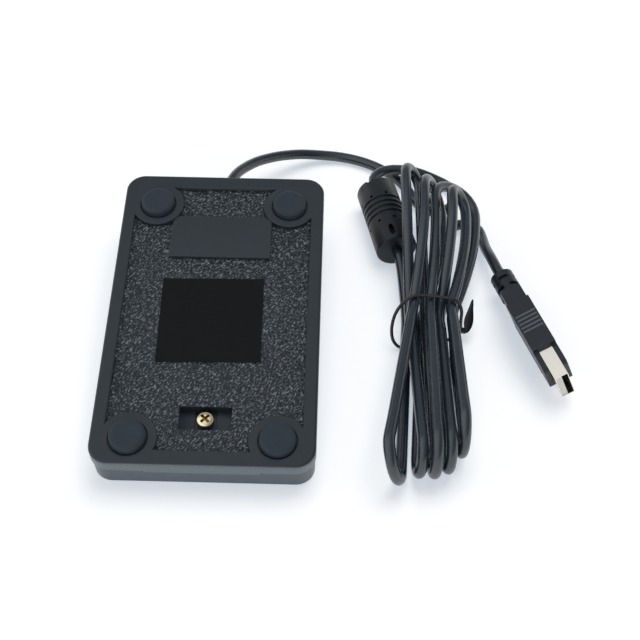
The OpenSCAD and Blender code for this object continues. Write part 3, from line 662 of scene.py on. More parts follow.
def rounded(node: str, roundings: Sequence[Rounding], into: Matrix) -> Shape:
    """A solid's own shape with its sharp edges rounded.

    Args:
        node: The solid.
        roundings: The edges to round, in the order in which it is done.
        into: Takes a point of the part to the frame that the roundings are told in.

    Returns:
        The rounded shape, where the solid is.
    """
    shape = bmesh.new()
    shape.from_mesh(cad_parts[node].data)
    bmesh.ops.remove_doubles(shape, verts=shape.verts, dist=WELD)
    bmesh.ops.dissolve_limit(shape, angle_limit=FLAT_ANGLE, verts=shape.verts, edges=shape.edges)
    for rounding in roundings:
        edges = [edge for edge in shape.edges if edge.is_manifold and edge.calc_face_angle(0) > SHARP_ANGLE
                 and rounding.picks(into @ ((edge.verts[0].co + edge.verts[1].co) / 2))]
        bmesh.ops.bevel(shape, geom=edges, offset=rounding.radius, offset_type="OFFSET",
                        segments=rounding.steps, profile=0.5, affect="EDGES", clamp_overlap=False,
                        loop_slide=True)
    return shape


def moulded(name: str, node: str, step: float, ease: int, kept: float, finish: Finish) -> Piece:
    """A solid's own shape as it comes out of a mould, with every edge eased.

    Args:
        name: The piece's name.
        node: The solid.
        step: How fine its new skin is.
        ease: How often the skin is smoothed.
        kept: Share of the skin's faces that are kept. The flat stretches lose most.
        finish: Its finish.

    Returns:
        The object.
    """
    piece = linked(name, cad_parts[node].data.copy())
    skin = piece.modifiers.new("skin", "REMESH")
    skin.mode = "VOXEL"
    skin.voxel_size = step
    piece.modifiers.new("ease", "SMOOTH").iterations = ease
    piece.modifiers.new("slim", "DECIMATE").ratio = kept
    bake_shape(piece)
    piece.data.polygons.foreach_set("use_smooth", [True] * len(piece.data.polygons))
    piece.data.materials.clear()
    piece.data.materials.append(finish.material())
    return piece


def shown_mesh(piece: Piece) -> bpy.types.Mesh:
    """A mesh of a piece as its modifiers or its bevel make it."""
    bpy.context.view_layer.update()
    return bpy.data.meshes.new_from_object(piece.evaluated_get(bpy.context.evaluated_depsgraph_get()))


def bake_shape(piece: Piece) -> None:
    """Makes what a piece's modifiers do its own shape.

    Args:
        piece: The piece, with no parent yet.
    """
    old = piece.data
    shape = shown_mesh(piece)
    piece.modifiers.clear()
    piece.data = shape
    bpy.data.meshes.remove(old)
    shape.name = piece.name


def join_rings(shape: Shape, rings: Sequence[list[bmesh.types.BMVert]]) -> None:
    """Joins each ring of points to the next with faces.

    Args:
        shape: The shape that the points are in.
        rings: The rings, in order. A ring of one point is a tip.
    """
    for lower, upper in zip(rings, rings[1:]):
        for step in range(max(len(lower), len(upper))):
            after = step + 1
            corners = [lower[step % len(lower)], lower[after % len(lower)],
                       upper[after % len(upper)], upper[step % len(upper)]]
            shape.faces.new(dict.fromkeys(corners))


def lathe(profile: Sequence[Span], steps: int = 64, ring: bool = False) -> Shape:
    """Turns a profile about the local z axis.

    Args:
        profile: Radius and height of each point, in order.
        steps: How many steps the turn has.
        ring: Whether the profile closes on itself, round a bore.

    Returns:
        The turned shape.
    """
    shape = bmesh.new()
    rings = []
    for radius, height in profile:
        if radius < WELD:
            rings.append([shape.verts.new((0.0, 0.0, height))])
            continue
        turns = [math.tau * step / steps for step in range(steps)]
        rings.append([shape.verts.new((radius * math.cos(a), radius * math.sin(a), height)) for a in turns])
    if ring:
        rings.append(rings[0])
    join_rings(shape, rings)
    return shape


def arc(radius: float, height: float, bend: float, start: float, end: float,
        steps: int = 5) -> list[Span]:
    """Points of a round corner in a lathe profile.

    Args:
        radius: Radius at which the corner's middle lies.
        height: Height at which the corner's middle lies.
        bend: The corner's own radius.
        start: Where it starts, in degrees from straight out.
        end: Where it ends.
        steps: How many steps it has.

    Returns:
        Radius and height of each point.
    """
    turns = [math.radians(start + (end - start) * step / steps) for step in range(steps + 1)]
    return [(radius + bend * math.cos(turn), height + bend * math.sin(turn)) for turn in turns]


def facing(origin: Vector, way: Vector, up: Vector) -> Matrix:
    """The place of a piece that is drawn along its own z axis, with its y axis towards up.

    Args:
        origin: Where its origin lies.
        way: Where its z axis points.
        up: About where its y axis points.

    Returns:
        The matrix from its own frame.
    """
    along = way.normalized()
    across = up.cross(along).normalized()
    rows = Matrix((across, along.cross(across), along)).transposed().to_4x4()
    return Matrix.Translation(origin) @ rows


def between(one: Vector, other: Vector, low: float, high: float, at: float) -> Vector:
    """The point at a place on the span from one point, at low, to another, at high."""
    return one * ((high - at) / (high - low)) + other * ((at - low) / (high - low))


def smooth_route(points: Sequence[Vector], step: float) -> list[Vector]:
    """A smooth line through the points, with no overshoot where they lie close together.

    Args:
        points: The points that it passes.
        step: About how far apart its own points are.

    Returns:
        The line's points.
    """
    line = [points[0].copy()]
    ends = [2 * points[0] - points[1], *points, 2 * points[-1] - points[-2]]
    for before, start, end, after in zip(ends, ends[1:], ends[2:], ends[3:]):
        knots = [0.0]
        for one, other in ((before, start), (start, end), (end, after)):
            knots.append(knots[-1] + max((other - one).length, WELD) ** 0.5)
        first, second, third, fourth = knots
        count = max(1, round((end - start).length / step))
        for k in range(1, count + 1):
            at = second + (third - second) * k / count
            middle = between(start, end, second, third, at)
            early = between(between(before, start, first, second, at), middle, first, third, at)
            late = between(middle, between(end, after, third, fourth, at), second, fourth, at)
            line.append(between(early, late, second, third, at))
    return line


def tube_piece(name: str, line: Sequence[Vector], diameter: float, finish: Finish,
               roundness: int = 6) -> Piece:
    """A round tube along a line, as a curve of one open spline.

    Args:
        name: The piece's name.
        line: Points along its middle.
        diameter: Its diameter.
        finish: Its finish.
        roundness: How finely its section is rounded.

    Returns:
        The object.
    """
    curve = bpy.data.curves.new(name, "CURVE")
    curve.dimensions = "3D"
    curve.bevel_depth = diameter / 2
    curve.bevel_resolution = roundness
    curve.use_fill_caps = True
    spline = curve.splines.new("POLY")
    spline.points.add(len(line) - 1)
    for point, place in zip(spline.points, line):
        point.co = (*place, 1.0)
    spline.use_smooth = True
    curve.materials.append(finish.material())
    return linked(name, curve)


def as_mesh(piece: Piece) -> Piece:
    """Turns a tube into a mesh of the same name.

    Args:
        piece: The tube, which is used up.

    Returns:
        The mesh object.
    """
    name = piece.name
    mesh = shown_mesh(piece)
    bpy.data.objects.remove(piece)
    return linked(name, mesh)


@dataclass(frozen=True)
class Lamp:
    """A soft square lamp that looks at the object, and that no gloss mirrors."""

    name: str
    place: Point
    size: float
    power: float

    def build(self, aim: Point, tint: Colour) -> None:
        """Hangs the lamp.

        Args:
            aim: Where it looks.
            tint: The colour of its light.
        """
        data = bpy.data.lights.new(self.name, "AREA")
        data.shape = "SQUARE"
        data.size = self.size
        data.energy = self.power
        data.color = tint
        lamp = linked(self.name, data)
        lamp.matrix_world = looking(self.place, aim)
        lamp.visible_glossy = False


@dataclass
class Studio:
    """The photograph's camera, a white sweep and soft light."""

    camera_place: Point = (0.0380, -0.2378, 0.3001)
    camera_aim: Point = (0.03364, 0.01088, 0.0)
    camera_roll: float = math.radians(0.5425)
    lens: float = 64.63
    sensor: float = 36.0
    clip: Span = (0.01, 100.0)
    floor_size: float = 40.0
    floor_white: Colour = (0.7, 0.615, 0.525)
    floor_rough: float = 0.9
    floor_tint: Colour = (0.78, 0.87, 1.0)
    floor_glow: float = 0.56
    lamp_reach: Span = (0.5, 2.0)
    lamps: tuple[Lamp, ...] = (
        Lamp("top_lamp", (0.2, 0.4, 1.1), 0.9, 10.0), Lamp("left_lamp", (-1.0, 0.0, 0.7), 0.8, 2.0),
        Lamp("front_lamp", (0.0, -1.2, 0.35), 0.8, 6.0))
    light_tint: Colour = (0.9, 0.96, 1.0)
    ambient: float = 0.24
    back_span: Span = (0.4, 0.58)
    back_dim: float = 0.3
    right_span: Span = (-0.4, 0.5)
    right_dim: float = 0.18
    horizon_span: Span = (0.2, 0.45)

    def build(self) -> None:
        """Makes the camera, the floor, the world and the lamps."""
        self.make_camera()
        self.make_floor()
        self.make_world()
        for lamp in self.lamps:
            lamp.build(self.camera_aim, self.light_tint)
        bpy.context.scene.view_settings.view_transform = "Standard"

    def make_camera(self) -> None:
        """Puts the camera where the photograph was taken from."""
        data = bpy.data.cameras.new("photo_camera")
        data.lens = self.lens
        data.sensor_width = self.sensor
        data.clip_start, data.clip_end = self.clip
        camera = linked("photo_camera", data)
        camera.matrix_world = (looking(self.camera_place, self.camera_aim)
                               @ Matrix.Rotation(self.camera_roll, 4, "Z"))
        bpy.context.scene.camera = camera

    def make_floor(self) -> None:
        """Lays a floor that takes the shadow, and glows just enough to look white near and far."""
        bpy.ops.mesh.primitive_plane_add(size=self.floor_size)
        floor = bpy.context.object
        floor.name = "floor"
        material = bpy.data.materials.new("floor_white")
        graph = Graph(material)
        away = graph.add("VectorMath", {0: graph.place()}, operation="LENGTH").outputs["Value"]
        tint = graph.mix(graph.remap(away, *self.lamp_reach, 0.0, 1.0), self.floor_tint, WHITE)
        glow = graph.remap(away, *self.lamp_reach, self.floor_glow, 1.0)
        graph.set(Base_Color=(*self.floor_white, 1.0), Roughness=self.floor_rough, Specular_IOR_Level=0.0,
                  Emission_Color=tint, Emission_Strength=graph.math("MULTIPLY", graph.seen(), glow))
        floor.data.materials.append(material)

    def make_world(self) -> None:
        """White all round but dimmer high up at the back and the right, with plain light for the object."""
        world = bpy.data.worlds.new("studio")
        bpy.context.scene.world = world
        graph = Graph(world, "Background")
        way = graph.add("SeparateXYZ", {0: graph.add("TexCoord").outputs["Generated"]}).outputs
        back = graph.remap(way["Y"], *self.back_span, 1.0, self.back_dim)
        right = graph.remap(way["X"], *self.right_span, 1.0, self.right_dim)
        horizon = graph.remap(way["Z"], *self.horizon_span, 1.0, 0.0)
        strength = graph.math("MAXIMUM", graph.math("MINIMUM", back, right), horizon)
        graph.set(Color=(*WHITE, 1.0), Strength=strength)
        light = graph.add("Background", {"Color": (*self.light_tint, 1.0), "Strength": self.ambient})
        mix = graph.add("MixShader", {0: graph.seen(), 1: light.outputs[0], 2: graph.shader.outputs[0]})
        graph.give(graph.tree.nodes["World Output"].inputs[0], mix.outputs[0])


@dataclass
class Bead:
    """Ferrite bead in its ringed cover, with the cable through it."""

    far_end: Point = (0.0528, 0.0663, 0.0073)
    way: Point = (0.007, -0.0292, 0.0)
    diameter: float = 0.0144
    length: float = 0.03
    groove_at: float = 0.0096
    groove_pitch: float = 0.0024
    groove_n: int = 4
    groove_width: float = 0.0009
    groove_deep: float = 0.0005
    groove_lip: float = 0.00015
    end_round: float = 0.001
    rim_round: float = 0.0004
    mouth_radius: float = 0.00195
    funnel_radius: float = 0.0046
    funnel_deep: float = 0.004
    dimple_rows: Span = (0.008, 0.0202)
    dimple_n: int = 8
    dimple_turn: float = math.radians(-10)
    dimple_diameter: float = 0.0011
    dimple_sides: int = 16
    slot_from: float = 0.0234
    slot_length: float = 0.0052
    slot_width: float = 0.0018
    slot_turn: float = math.radians(10)
    slot_sides: int = 32
    cut_deep: float = 0.0016
    notch_turn: float = math.radians(26)
    notch_size: float = 0.0022
    turn_steps: int = 72

    @property
    def axis(self) -> Vector:
        """The way from the far end to the near end."""
        return Vector(self.way).normalized()

    @property
    def near_end(self) -> Vector:
        """Middle of the end from which the hank starts."""
        return Vector(self.far_end) + self.length * self.axis

    def place(self) -> Matrix:
        """From the bead's own frame, along z, to where it lies."""
        return facing(Vector(self.far_end), self.axis, UP)

    def profile(self) -> list[Span]:
        """Draws the cover's section.

        Returns:
            Radius and place along, from the far mouth over the outside to the near mouth.
        """
        out = self.diameter / 2
        deep = out - self.groove_deep
        lip = self.groove_lip
        rim = self.rim_round
        points = [(self.mouth_radius, self.funnel_deep), (self.funnel_radius, rim)]
        points += arc(self.funnel_radius + rim, rim, rim, 180, 270, 3)
        points += arc(out - rim, rim, rim, 270, 360, 3)
        for k in range(self.groove_n):
            middle = self.groove_at + k * self.groove_pitch
            low = middle - self.groove_width / 2
            high = middle + self.groove_width / 2
            points += [(out, low - lip), (out - lip, low), (deep, low + lip), (deep, high - lip),
                       (out - lip, high), (out, high + lip)]
        points += arc(out - self.end_round, self.length - self.end_round, self.end_round, 0, 90, 6)
        return [*points, (self.mouth_radius, self.length)]

    def spot(self, turn: float, along: float) -> Matrix:
        """A place on the cover's outside, so far round and along."""
        return Matrix.Rotation(turn, 4, "Z") @ Matrix.Translation((0.0, self.diameter / 2, along))

    def cutters(self) -> Shape:
        """Draws what is cut out of the cover.

        Returns:
            The pin marks beside the rings, the long slot by the near end, and a notch in the far rim.
        """
        shape = bmesh.new()
        pin = (self.dimple_diameter, self.dimple_diameter, self.dimple_sides)
        turns = [self.dimple_turn + math.tau * k / self.dimple_n for k in range(self.dimple_n)]
        cuts = [(self.spot(turn, row), *pin) for row in self.dimple_rows for turn in turns]
        slot = self.spot(self.slot_turn, self.slot_from + self.slot_length / 2)
        cuts.append((slot, self.slot_width, self.slot_length, self.slot_sides))
        for spot, width, length, sides in cuts:
            place = spot @ Matrix.Rotation(math.pi / 2, 4, "X") @ Matrix.Diagonal((width, length, 1.0, 1.0))
            bmesh.ops.create_cone(shape, cap_ends=True, segments=sides, radius1=0.5, radius2=0.5,
                                  depth=2 * self.cut_deep, matrix=place)
        notch = self.spot(self.notch_turn, 0.0) @ Matrix.Rotation(math.pi / 4, 4, "Y")
        bmesh.ops.create_cube(shape, size=self.notch_size, matrix=notch)
        return shape

    def build(self) -> list[Piece]:
        """Makes the cover and dresses the core.

        Returns:
            The pieces that go with the cable.
        """
        shape = lathe(self.profile(), self.turn_steps, ring=True)
        cover = piece_of("bead_cover_ringed", shape, Finishes.BEAD)
        # The cuts take a near black finish: painted shade
        cut_away(cover, self.cutters(), Finishes.PIN_HOLE_SHADE)
        cover.data.transform(self.place())
        settle(cover, Body.BASE, "bead_plastic", "bead_cover")
        return [cover, paint("bead_core", Finishes.FERRITE)]


def cut_away(piece: Piece, cutter_shape: Shape, finish: Finish) -> None:
    """Cuts a shape out of a piece for good.

    Args:
        piece: The piece, with no parent yet.
        cutter_shape: What is cut out, in the piece's own frame. It is used up.
        finish: The finish inside the cut, darker than the piece's: painted shade in the hollow.
    """
    cutter = piece_of(piece.name + "_cutter", cutter_shape, finish)
    modifier = piece.modifiers.new("cut", "BOOLEAN")
    modifier.operation = "DIFFERENCE"
    modifier.object = cutter
    modifier.solver = "EXACT"
    modifier.material_mode = "TRANSFER"
    modifier.use_self = True
    bake_shape(piece)
    bpy.data.objects.remove(cutter)
    piece.data.set_sharp_from_angle(angle=SHARP_ANGLE)


def paint(node: str, finish: Finish) -> Piece:
    """Gives a solid whose own shape is right its finish.

    Args:
        node: The solid.
        finish: Its finish.

    Returns:
        The solid's object.
    """
    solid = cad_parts[node]
    solid.data.materials.clear()
    solid.data.materials.append(finish.material())
    LOG.info("%s keeps its own shape", node)
    return solid


@dataclass(frozen=True)
class Fold:
    """A fold of the hank: across and height of its two legs, and how far along they end."""

    first: Span
    second: Span
    along: float

    def leg(self, which: int) -> Vector:
        """Where its first leg, 0, or its second leg, 1, ends."""
        across, height = (self.first, self.second)[which]
        return Vector((across, self.along, height))

    def points(self, way: int, steps: int) -> list[Vector]:
        """Its points from its first leg on, without the end of its second leg.

        Args:
            way: -1 at the near end and 1 at the far end.
            steps: How many steps it has.

        Returns:
            The points.
        """
        half = (self.leg(1) - self.leg(0)) / 2
        turns = [math.pi * step / steps for step in range(steps)]
        bulge = Vector((0.0, way * half.length, 0.0))
        return [self.leg(0) + half * (1 - math.cos(turn)) + bulge * math.sin(turn) for turn in turns]


@dataclass
class Cable:
    """The cable from the strain relief through the bead and the hank to the plug, as one piece."""

    diameter: float = 0.0037
    length: float = 1.42
    exit_point: Point = (0.0, 0.05606, 0.015585)
    exit_run: float = 0.002
    lead_points: tuple[Point, ...] = (
        (0.0009, 0.0624, 0.0155), (0.0026, 0.067, 0.0146), (0.0052, 0.0716, 0.0132),
        (0.0089, 0.0763, 0.0116), (0.0127, 0.08, 0.0099), (0.0168, 0.0833, 0.0082),
        (0.0207, 0.0858, 0.0066), (0.0246, 0.0878, 0.0052), (0.0308, 0.0896, 0.0034),
        (0.0395, 0.09, 0.0022), (0.0472, 0.088, 0.002), (0.0544, 0.0842, 0.002), (0.06, 0.0796, 0.002),
        (0.0644, 0.0734, 0.002), (0.0678, 0.0664, 0.002), (0.071, 0.0628, 0.002),
        (0.0752, 0.0619, 0.002), (0.0793, 0.0636, 0.002), (0.0818, 0.0674, 0.002),
        (0.0818, 0.0716, 0.002), (0.0795, 0.0752, 0.0024), (0.0756, 0.0772, 0.0032),
        (0.071, 0.0782, 0.0048), (0.066, 0.0787, 0.0062), (0.061, 0.0786, 0.0069),
        (0.0572, 0.078, 0.0071), (0.0538, 0.0762, 0.0072), (0.0519, 0.073, 0.0073))
    link_points: tuple[Point, ...] = ((0.0612, 0.03, 0.0066), (0.0622, 0.019, 0.0046))
    near_folds: tuple[Fold, ...] = (
        Fold((0.0598, 0.002), (0.0554, 0.0165), -0.0484), Fold((0.0647, 0.002), (0.0658, 0.014), -0.0468),
        Fold((0.0694, 0.002), (0.07, 0.0165), -0.0462), Fold((0.0779, 0.002), (0.0784, 0.017), -0.0385),
        Fold((0.0742, 0.015), (0.0737, 0.002), -0.0448))
    far_folds: tuple[Fold, ...] = (
        Fold((0.0688, 0.022), (0.0762, 0.0063), 0.0542), Fold((0.0624, 0.0226), (0.068, 0.0132), 0.0604),
        Fold((0.0729, 0.018), (0.0876, 0.0092), 0.0534), Fold((0.0838, 0.0132), (0.0782, 0.0224), 0.05))
    waist: Span = (0.069, 0.008)
    waist_rows: tuple[float, float, float] = (0.0035, 0.008, 0.0126)
    slots: tuple[tuple[float, int], ...] = (
        (-0.0063, 0), (-0.0046, 2), (-0.0015, 0), (-0.0056, 1), (-0.0004, 1), (0.001, 2), (0.0086, 1),
        (0.0079, 2), (0.0042, 1), (0.0044, 0))
    run_steps: int = 12
    fold_steps: int = 6
    last_share: float = 0.8
    tail_leg: Point = (0.0774, 0.04, 0.002)
    turn_at: Span = (0.0842, 0.049)
    turn_radius: float = 0.0062
    turn_steps: int = 6
    turn_rise: float = 0.001
    tail_points: tuple[Point, ...] = ((0.0912, 0.0416, 0.0048), (0.0926, 0.034, 0.0072))
    stub_share: float = 0.6
    line_step: float = 0.0018

    @property
    def stub(self) -> float:
        """Straight length at an end that meets another piece."""
        return self.stub_share * self.diameter

    def run_point(self, run: int, near: Vector, far: Vector, share: float) -> Vector:
        """A point of a run between a near fold and a far fold.

        Args:
            run: Which run it is.
            near: Where the run meets its near fold.
            far: Where it meets its far fold.
            share: Where on the run, from -1 at the near fold through 0 at the waist to 1 at the far fold.

        Returns:
            The point.
        """
        aside, row = self.slots[run]
        waist = Vector((self.waist[0] + aside, self.waist[1], self.waist_rows[row]))
        way = (near if share < 0 else far) - waist
        out = -share if share < 0 else math.sin(math.pi / 2 * share)
        rise = (1 - math.cos(math.pi * share * share)) / 2 if share < 0 and way.z < 0 else out
        return waist + Vector((way.x * out, way.y * abs(share), way.z * rise))

    def hank_points(self) -> list[Vector]:
        """Lays the hank's loops.

        Returns:
            Their points, from the waist of the first run to the end of the last run.
        """
        points = []
        shares = [step / self.run_steps for step in range(self.run_steps)]
        last = len(self.near_folds) - 1
        for loop, near in enumerate(self.near_folds):
            before = self.far_folds[max(loop - 1, 0)].leg(1)
            start = 0.0 if loop == 0 else 1.0
            points += [self.run_point(2 * loop, near.leg(0), before, start - (start + 1) * s)
                       for s in shares]
            points += near.points(-1, self.fold_steps)
            far = self.far_folds[loop].leg(0) if loop < last else Vector(self.tail_leg)
            stop = 1.0 if loop < last else self.last_share
            points += [self.run_point(2 * loop + 1, near.leg(1), far, -1 + (stop + 1) * s)
                       for s in shares]
            if loop < last:
                points += self.far_folds[loop].points(1, self.fold_steps)
        points.append(self.run_point(2 * last + 1, near.leg(1), far, self.last_share))
        return points

    def turn_points(self) -> list[Vector]:
        """Lays the half circle in which the tail turns back towards the plug.

        Returns:
            Its points.
        """
        points = []
        for step in range(self.turn_steps + 1):
            share = step / self.turn_steps
            turn = math.pi * (1 - share)
            points.append(Vector((self.turn_at[0] + self.turn_radius * math.cos(turn),
                                  self.turn_at[1] + self.turn_radius * math.sin(turn),
                                  self.tail_leg[2] + self.turn_rise * share)))
        return points

    def route(self, bead: Bead, plug: "Plug") -> list[Vector]:
        """Joins the stretches of the cable.

        Args:
            bead: The bead that it runs through.
            plug: The plug at its end.

        Returns:
            Every point that it passes, from the relief to the plug.
        """
        start = Vector(self.exit_point)
        points = [start, start + self.exit_run * ALONG, *map(Vector, self.lead_points)]
        bead_far = Vector(bead.far_end)
        lead_in = self.stub * bead.axis
        points += [bead_far - lead_in, bead_far, bead.near_end, bead.near_end + lead_in]
        points += [*map(Vector, self.link_points), *self.hank_points()]
        leaving = (points[-1] - points[-2]).normalized()
        points += [points[-1] + self.stub * leaving, Vector(self.tail_leg), *self.turn_points()]
        points += map(Vector, self.tail_points)
        rear = Vector(plug.rear)
        return [*points, rear - self.stub * plug.axis, rear]

    def build(self, bead: Bead, plug: "Plug", on_it: Sequence[Piece]) -> None:
        """Args:
            bead: The bead that it runs through.
            plug: The plug at its end.
            on_it: The pieces that go with it. It is not used.
        """
        line = smooth_route(self.route(bead, plug), self.line_step)
        cable = tube_piece("usb_cable", line, self.diameter, Finishes.JACKET)
        settle(cable, Body.BASE, "cable_jacket", "cable_lead", "cable_hank", "cable_tail")


@dataclass
class Tie:
    """Wire tie round the hank's waist, with its twist and flat tail."""

    wire: float = 0.0011
    wire_roundness: int = 4
    line_step: float = 0.001
    loop_points: tuple[Point, ...] = (
        (0.0804, 0.0044, 0.005), (0.0803, 0.0054, 0.008), (0.0802, 0.0068, 0.0116),
        (0.0784, 0.008, 0.0149), (0.0734, 0.0088, 0.0156), (0.068, 0.0094, 0.0156),
        (0.0636, 0.0089, 0.0154), (0.0606, 0.0073, 0.0136), (0.0583, 0.0046, 0.011),
        (0.0574, 0.0015, 0.007), (0.0582, -0.0003, 0.0034), (0.0604, -0.0009, 0.001),
        (0.064, -0.0004, 0.00075), (0.07, 0.0012, 0.00075), (0.0756, 0.0026, 0.00075),
        (0.0789, 0.0036, 0.0014), (0.0803, 0.0041, 0.0038))
    twist_from: Point = (0.0801, 0.0043, 0.0044)
    twist_way: Point = (0.0022, -0.0004, 0.0)
    twist_radius: float = 0.00055
    twist_turns: float = 1.5
    twist_steps: int = 24
    leaf_root: Point = (0.0823, 0.0036, 0.004)
    leaf_turn: Point = (math.radians(24), math.radians(20), math.radians(-3))
    leaf_length: float = 0.0116
    leaf_thick: float = 0.0009
    leaf_widths: tuple[float, ...] = (0.0011, 0.0021, 0.0028, 0.0032, 0.0033, 0.0032, 0.0029, 0.0025,
                                      0.002, 0.0016, 0.0013, 0.001, 0.0005)
    leaf_sides: int = 16

    def build(self) -> list[Piece]:
        """Makes the loop, the twist and the flat tail.

        Returns:
            The pieces that go with the cable.
        """
        line = smooth_route([Vector(point) for point in self.loop_points], self.line_step)
        pieces = [self.wired("tie_loop", line), self.strand("tie_twist_upper", 0.0),
                  self.strand("tie_twist_lower", math.pi), self.leaf()]
        for piece in pieces:
            settle(piece, Body.BASE, "tie_plastic", "hank_tie")
        return pieces

    def wired(self, name: str, line: Sequence[Vector]) -> Piece:
        """A piece of the tie's sleeved wire along a line."""
        return tube_piece(name, line, self.wire, Finishes.TIE, self.wire_roundness)

    def strand(self, name: str, start: float) -> Piece:
        """Makes one of the two wires that are twisted together.

        Args:
            name: The piece's name.
            start: How far round the other wire it starts.

        Returns:
            The piece.
        """
        way = Vector(self.twist_way)
        place = facing(Vector(self.twist_from), way, UP)
        line = []
        for step in range(self.twist_steps + 1):
            share = step / self.twist_steps
            turn = start + math.tau * self.twist_turns * share
            aside, up = self.twist_radius * math.cos(turn), self.twist_radius * math.sin(turn)
            line.append(place @ Vector((aside, up, way.length * share)))
        return self.wired(name, line)

    def leaf(self) -> Piece:
        """Makes the flat tail, which is widest near its root and runs out to a tip.

        Returns:
            The piece.
        """
        shape = bmesh.new()
        rings = []
        turns = [math.tau * k / self.leaf_sides for k in range(self.leaf_sides)]
        for step, width in enumerate(self.leaf_widths):
            along = self.leaf_length * step / (len(self.leaf_widths) - 1)
            out, up = width / 2, min(self.leaf_thick, width) / 2
            corners = [(out * math.cos(turn), along, self.leaf_thick / 2 + up * math.sin(turn))
                       for turn in turns]
            rings.append([shape.verts.new(corner) for corner in corners])
        join_rings(shape, rings)
        for end in (rings[0], rings[-1]):
            shape.faces.new(end)
        leaf = piece_of("tie_leaf", shape, Finishes.TIE)
        turn = Matrix.Identity(4)
        for angle, axis in zip(self.leaf_turn, "XYZ"):
            turn = Matrix.Rotation(angle, 4, axis) @ turn
        leaf.data.transform(Matrix.Translation(Vector(self.leaf_root)) @ turn)
        return leaf


@dataclass
class Plug:
    """USB-A plug: slotted boot, grip, shell, tongue and contacts."""

    rear: Point = (0.0952, 0.0251, 0.008)
    way: Point = (0.0164, -0.0465, 0.0012)
    lean: float = math.radians(22)
    skin_step: float = 0.00013
    ease: int = 1
    skin_kept: float = 0.2
    shell_round: float = 0.00012

    @property
    def axis(self) -> Vector:
        """The way from the cable to the tip."""
        return Vector(self.way).normalized()

    def place(self) -> Matrix:
        """Tells where the plug lies.

        Returns:
            From its own frame, with x to the tip and z across its wide side, to the part's.
        """
        way = self.axis
        turn = math.atan2(way.y, way.x)
        rise = math.asin(way.z)
        return (Matrix.Translation(Vector(self.rear)) @ Matrix.Rotation(turn, 4, "Z")
                @ Matrix.Rotation(-rise, 4, "Y") @ Matrix.Rotation(self.lean, 4, "X"))

    def build(self) -> list[Piece]:
        """Rounds the grip and the shell, and dresses the rest.

        Returns:
            The pieces that go with the cable.
        """
        place = self.place()
        # The grip's pale rib crowns are a painted highlight, and its pale edges partly wear, partly a
        # painted highlight
        satin = RibbedGrip("grip_satin", srgb(26, 31, 37), 0.4, 0.45, wear_and_highlight=0.6,
                           middle=tuple(place.translation), across=tuple(place.col[2].xyz))
        grip = moulded("plug_grip_rounded", "plug_grip", self.skin_step, self.ease, self.skin_kept, satin)
        settle(grip, Body.BASE, "grip_plastic", "plug_grip")
        every_edge = [Rounding(self.shell_round, 2, lambda p: True)]
        shape = rounded("plug_shell", every_edge, place.inverted())
        shell = piece_of("plug_shell_rounded", shape, Finishes.SHELL)
        weigh_normals(shell)
        settle(shell, Body.BASE, "shell_nickel", "plug_shell")
        tongue = paint("plug_tongue", Finishes.TONGUE)
        return [grip, shell, tongue, paint("plug_contacts", Finishes.CONTACT)]


@dataclass
class Foot:
    """Round rubber foot in its seat, with a round edge and a slight dish."""

    node: str
    diameter: float = 0.0113
    tall: float = 0.0021
    seat: float = 0.0008
    edge: float = 0.0012
    dish: float = 0.00015
    dish_inset: float = 0.00264
    slope_start: float = 0.6
    slope_end: float = 0.8

    def profile(self) -> list[Span]:
        """Draws the foot's section.

        Returns:
            Radius and height above the rim, from the middle of the seat to the middle of the dish.
        """
        out = self.diameter / 2
        flat = out - self.dish_inset
        floor = self.tall - self.dish
        points = [(0.0, -self.seat), (out, -self.seat)]
        points += arc(out - self.edge, self.tall - self.edge, self.edge, 0, 90, 6)
        slope = [(flat, self.tall - self.slope_start * self.dish), (self.slope_end * flat, floor)]
        return [*points, *slope, (0.0, floor)]

    def build(self) -> None:
        """Makes the foot where its solid stands."""
        foot = piece_of(self.node + "_rubber", lathe(self.profile()), Finishes.FOOT)
        foot.data.transform(over(self.node, 0.0))
        settle(foot, Body.BASE, "foot_rubber", self.node)


@dataclass
class Label:
    """The bare label, thin, with corners that have begun to lift."""

    width: float = 0.033
    length: float = 0.032
    thick: float = 0.00015
    turn: float = math.radians(1)
    lift: float = 0.0003
    lift_from: float = 0.86
    left_share: float = 0.6
    steps: int = 24

    def build(self) -> None:
        """Makes the label on the recess's floor."""
        shape = bmesh.new()
        bmesh.ops.create_grid(shape, x_segments=self.steps, y_segments=self.steps, size=0.5)
        for vert in shape.verts:
            across, along, _ = vert.co
            edge = max(0.0, abs(across) + abs(along) - self.lift_from) / (1 - self.lift_from)
            side = 1.0 if across > 0 else self.left_share
            vert.co = (across * self.width, along * self.length, self.lift * side * edge * edge)
        bmesh.ops.solidify(shape, geom=shape.faces[:], thickness=self.thick)
        label = piece_of("label_film", shape, Finishes.LABEL)
        lie = over("label_sticker", self.thick - RECESS_DEPTH)
        label.data.transform(lie @ Matrix.Rotation(self.turn, 4, "Z"))
        settle(label, Body.BASE, "label_film", "label_sticker")


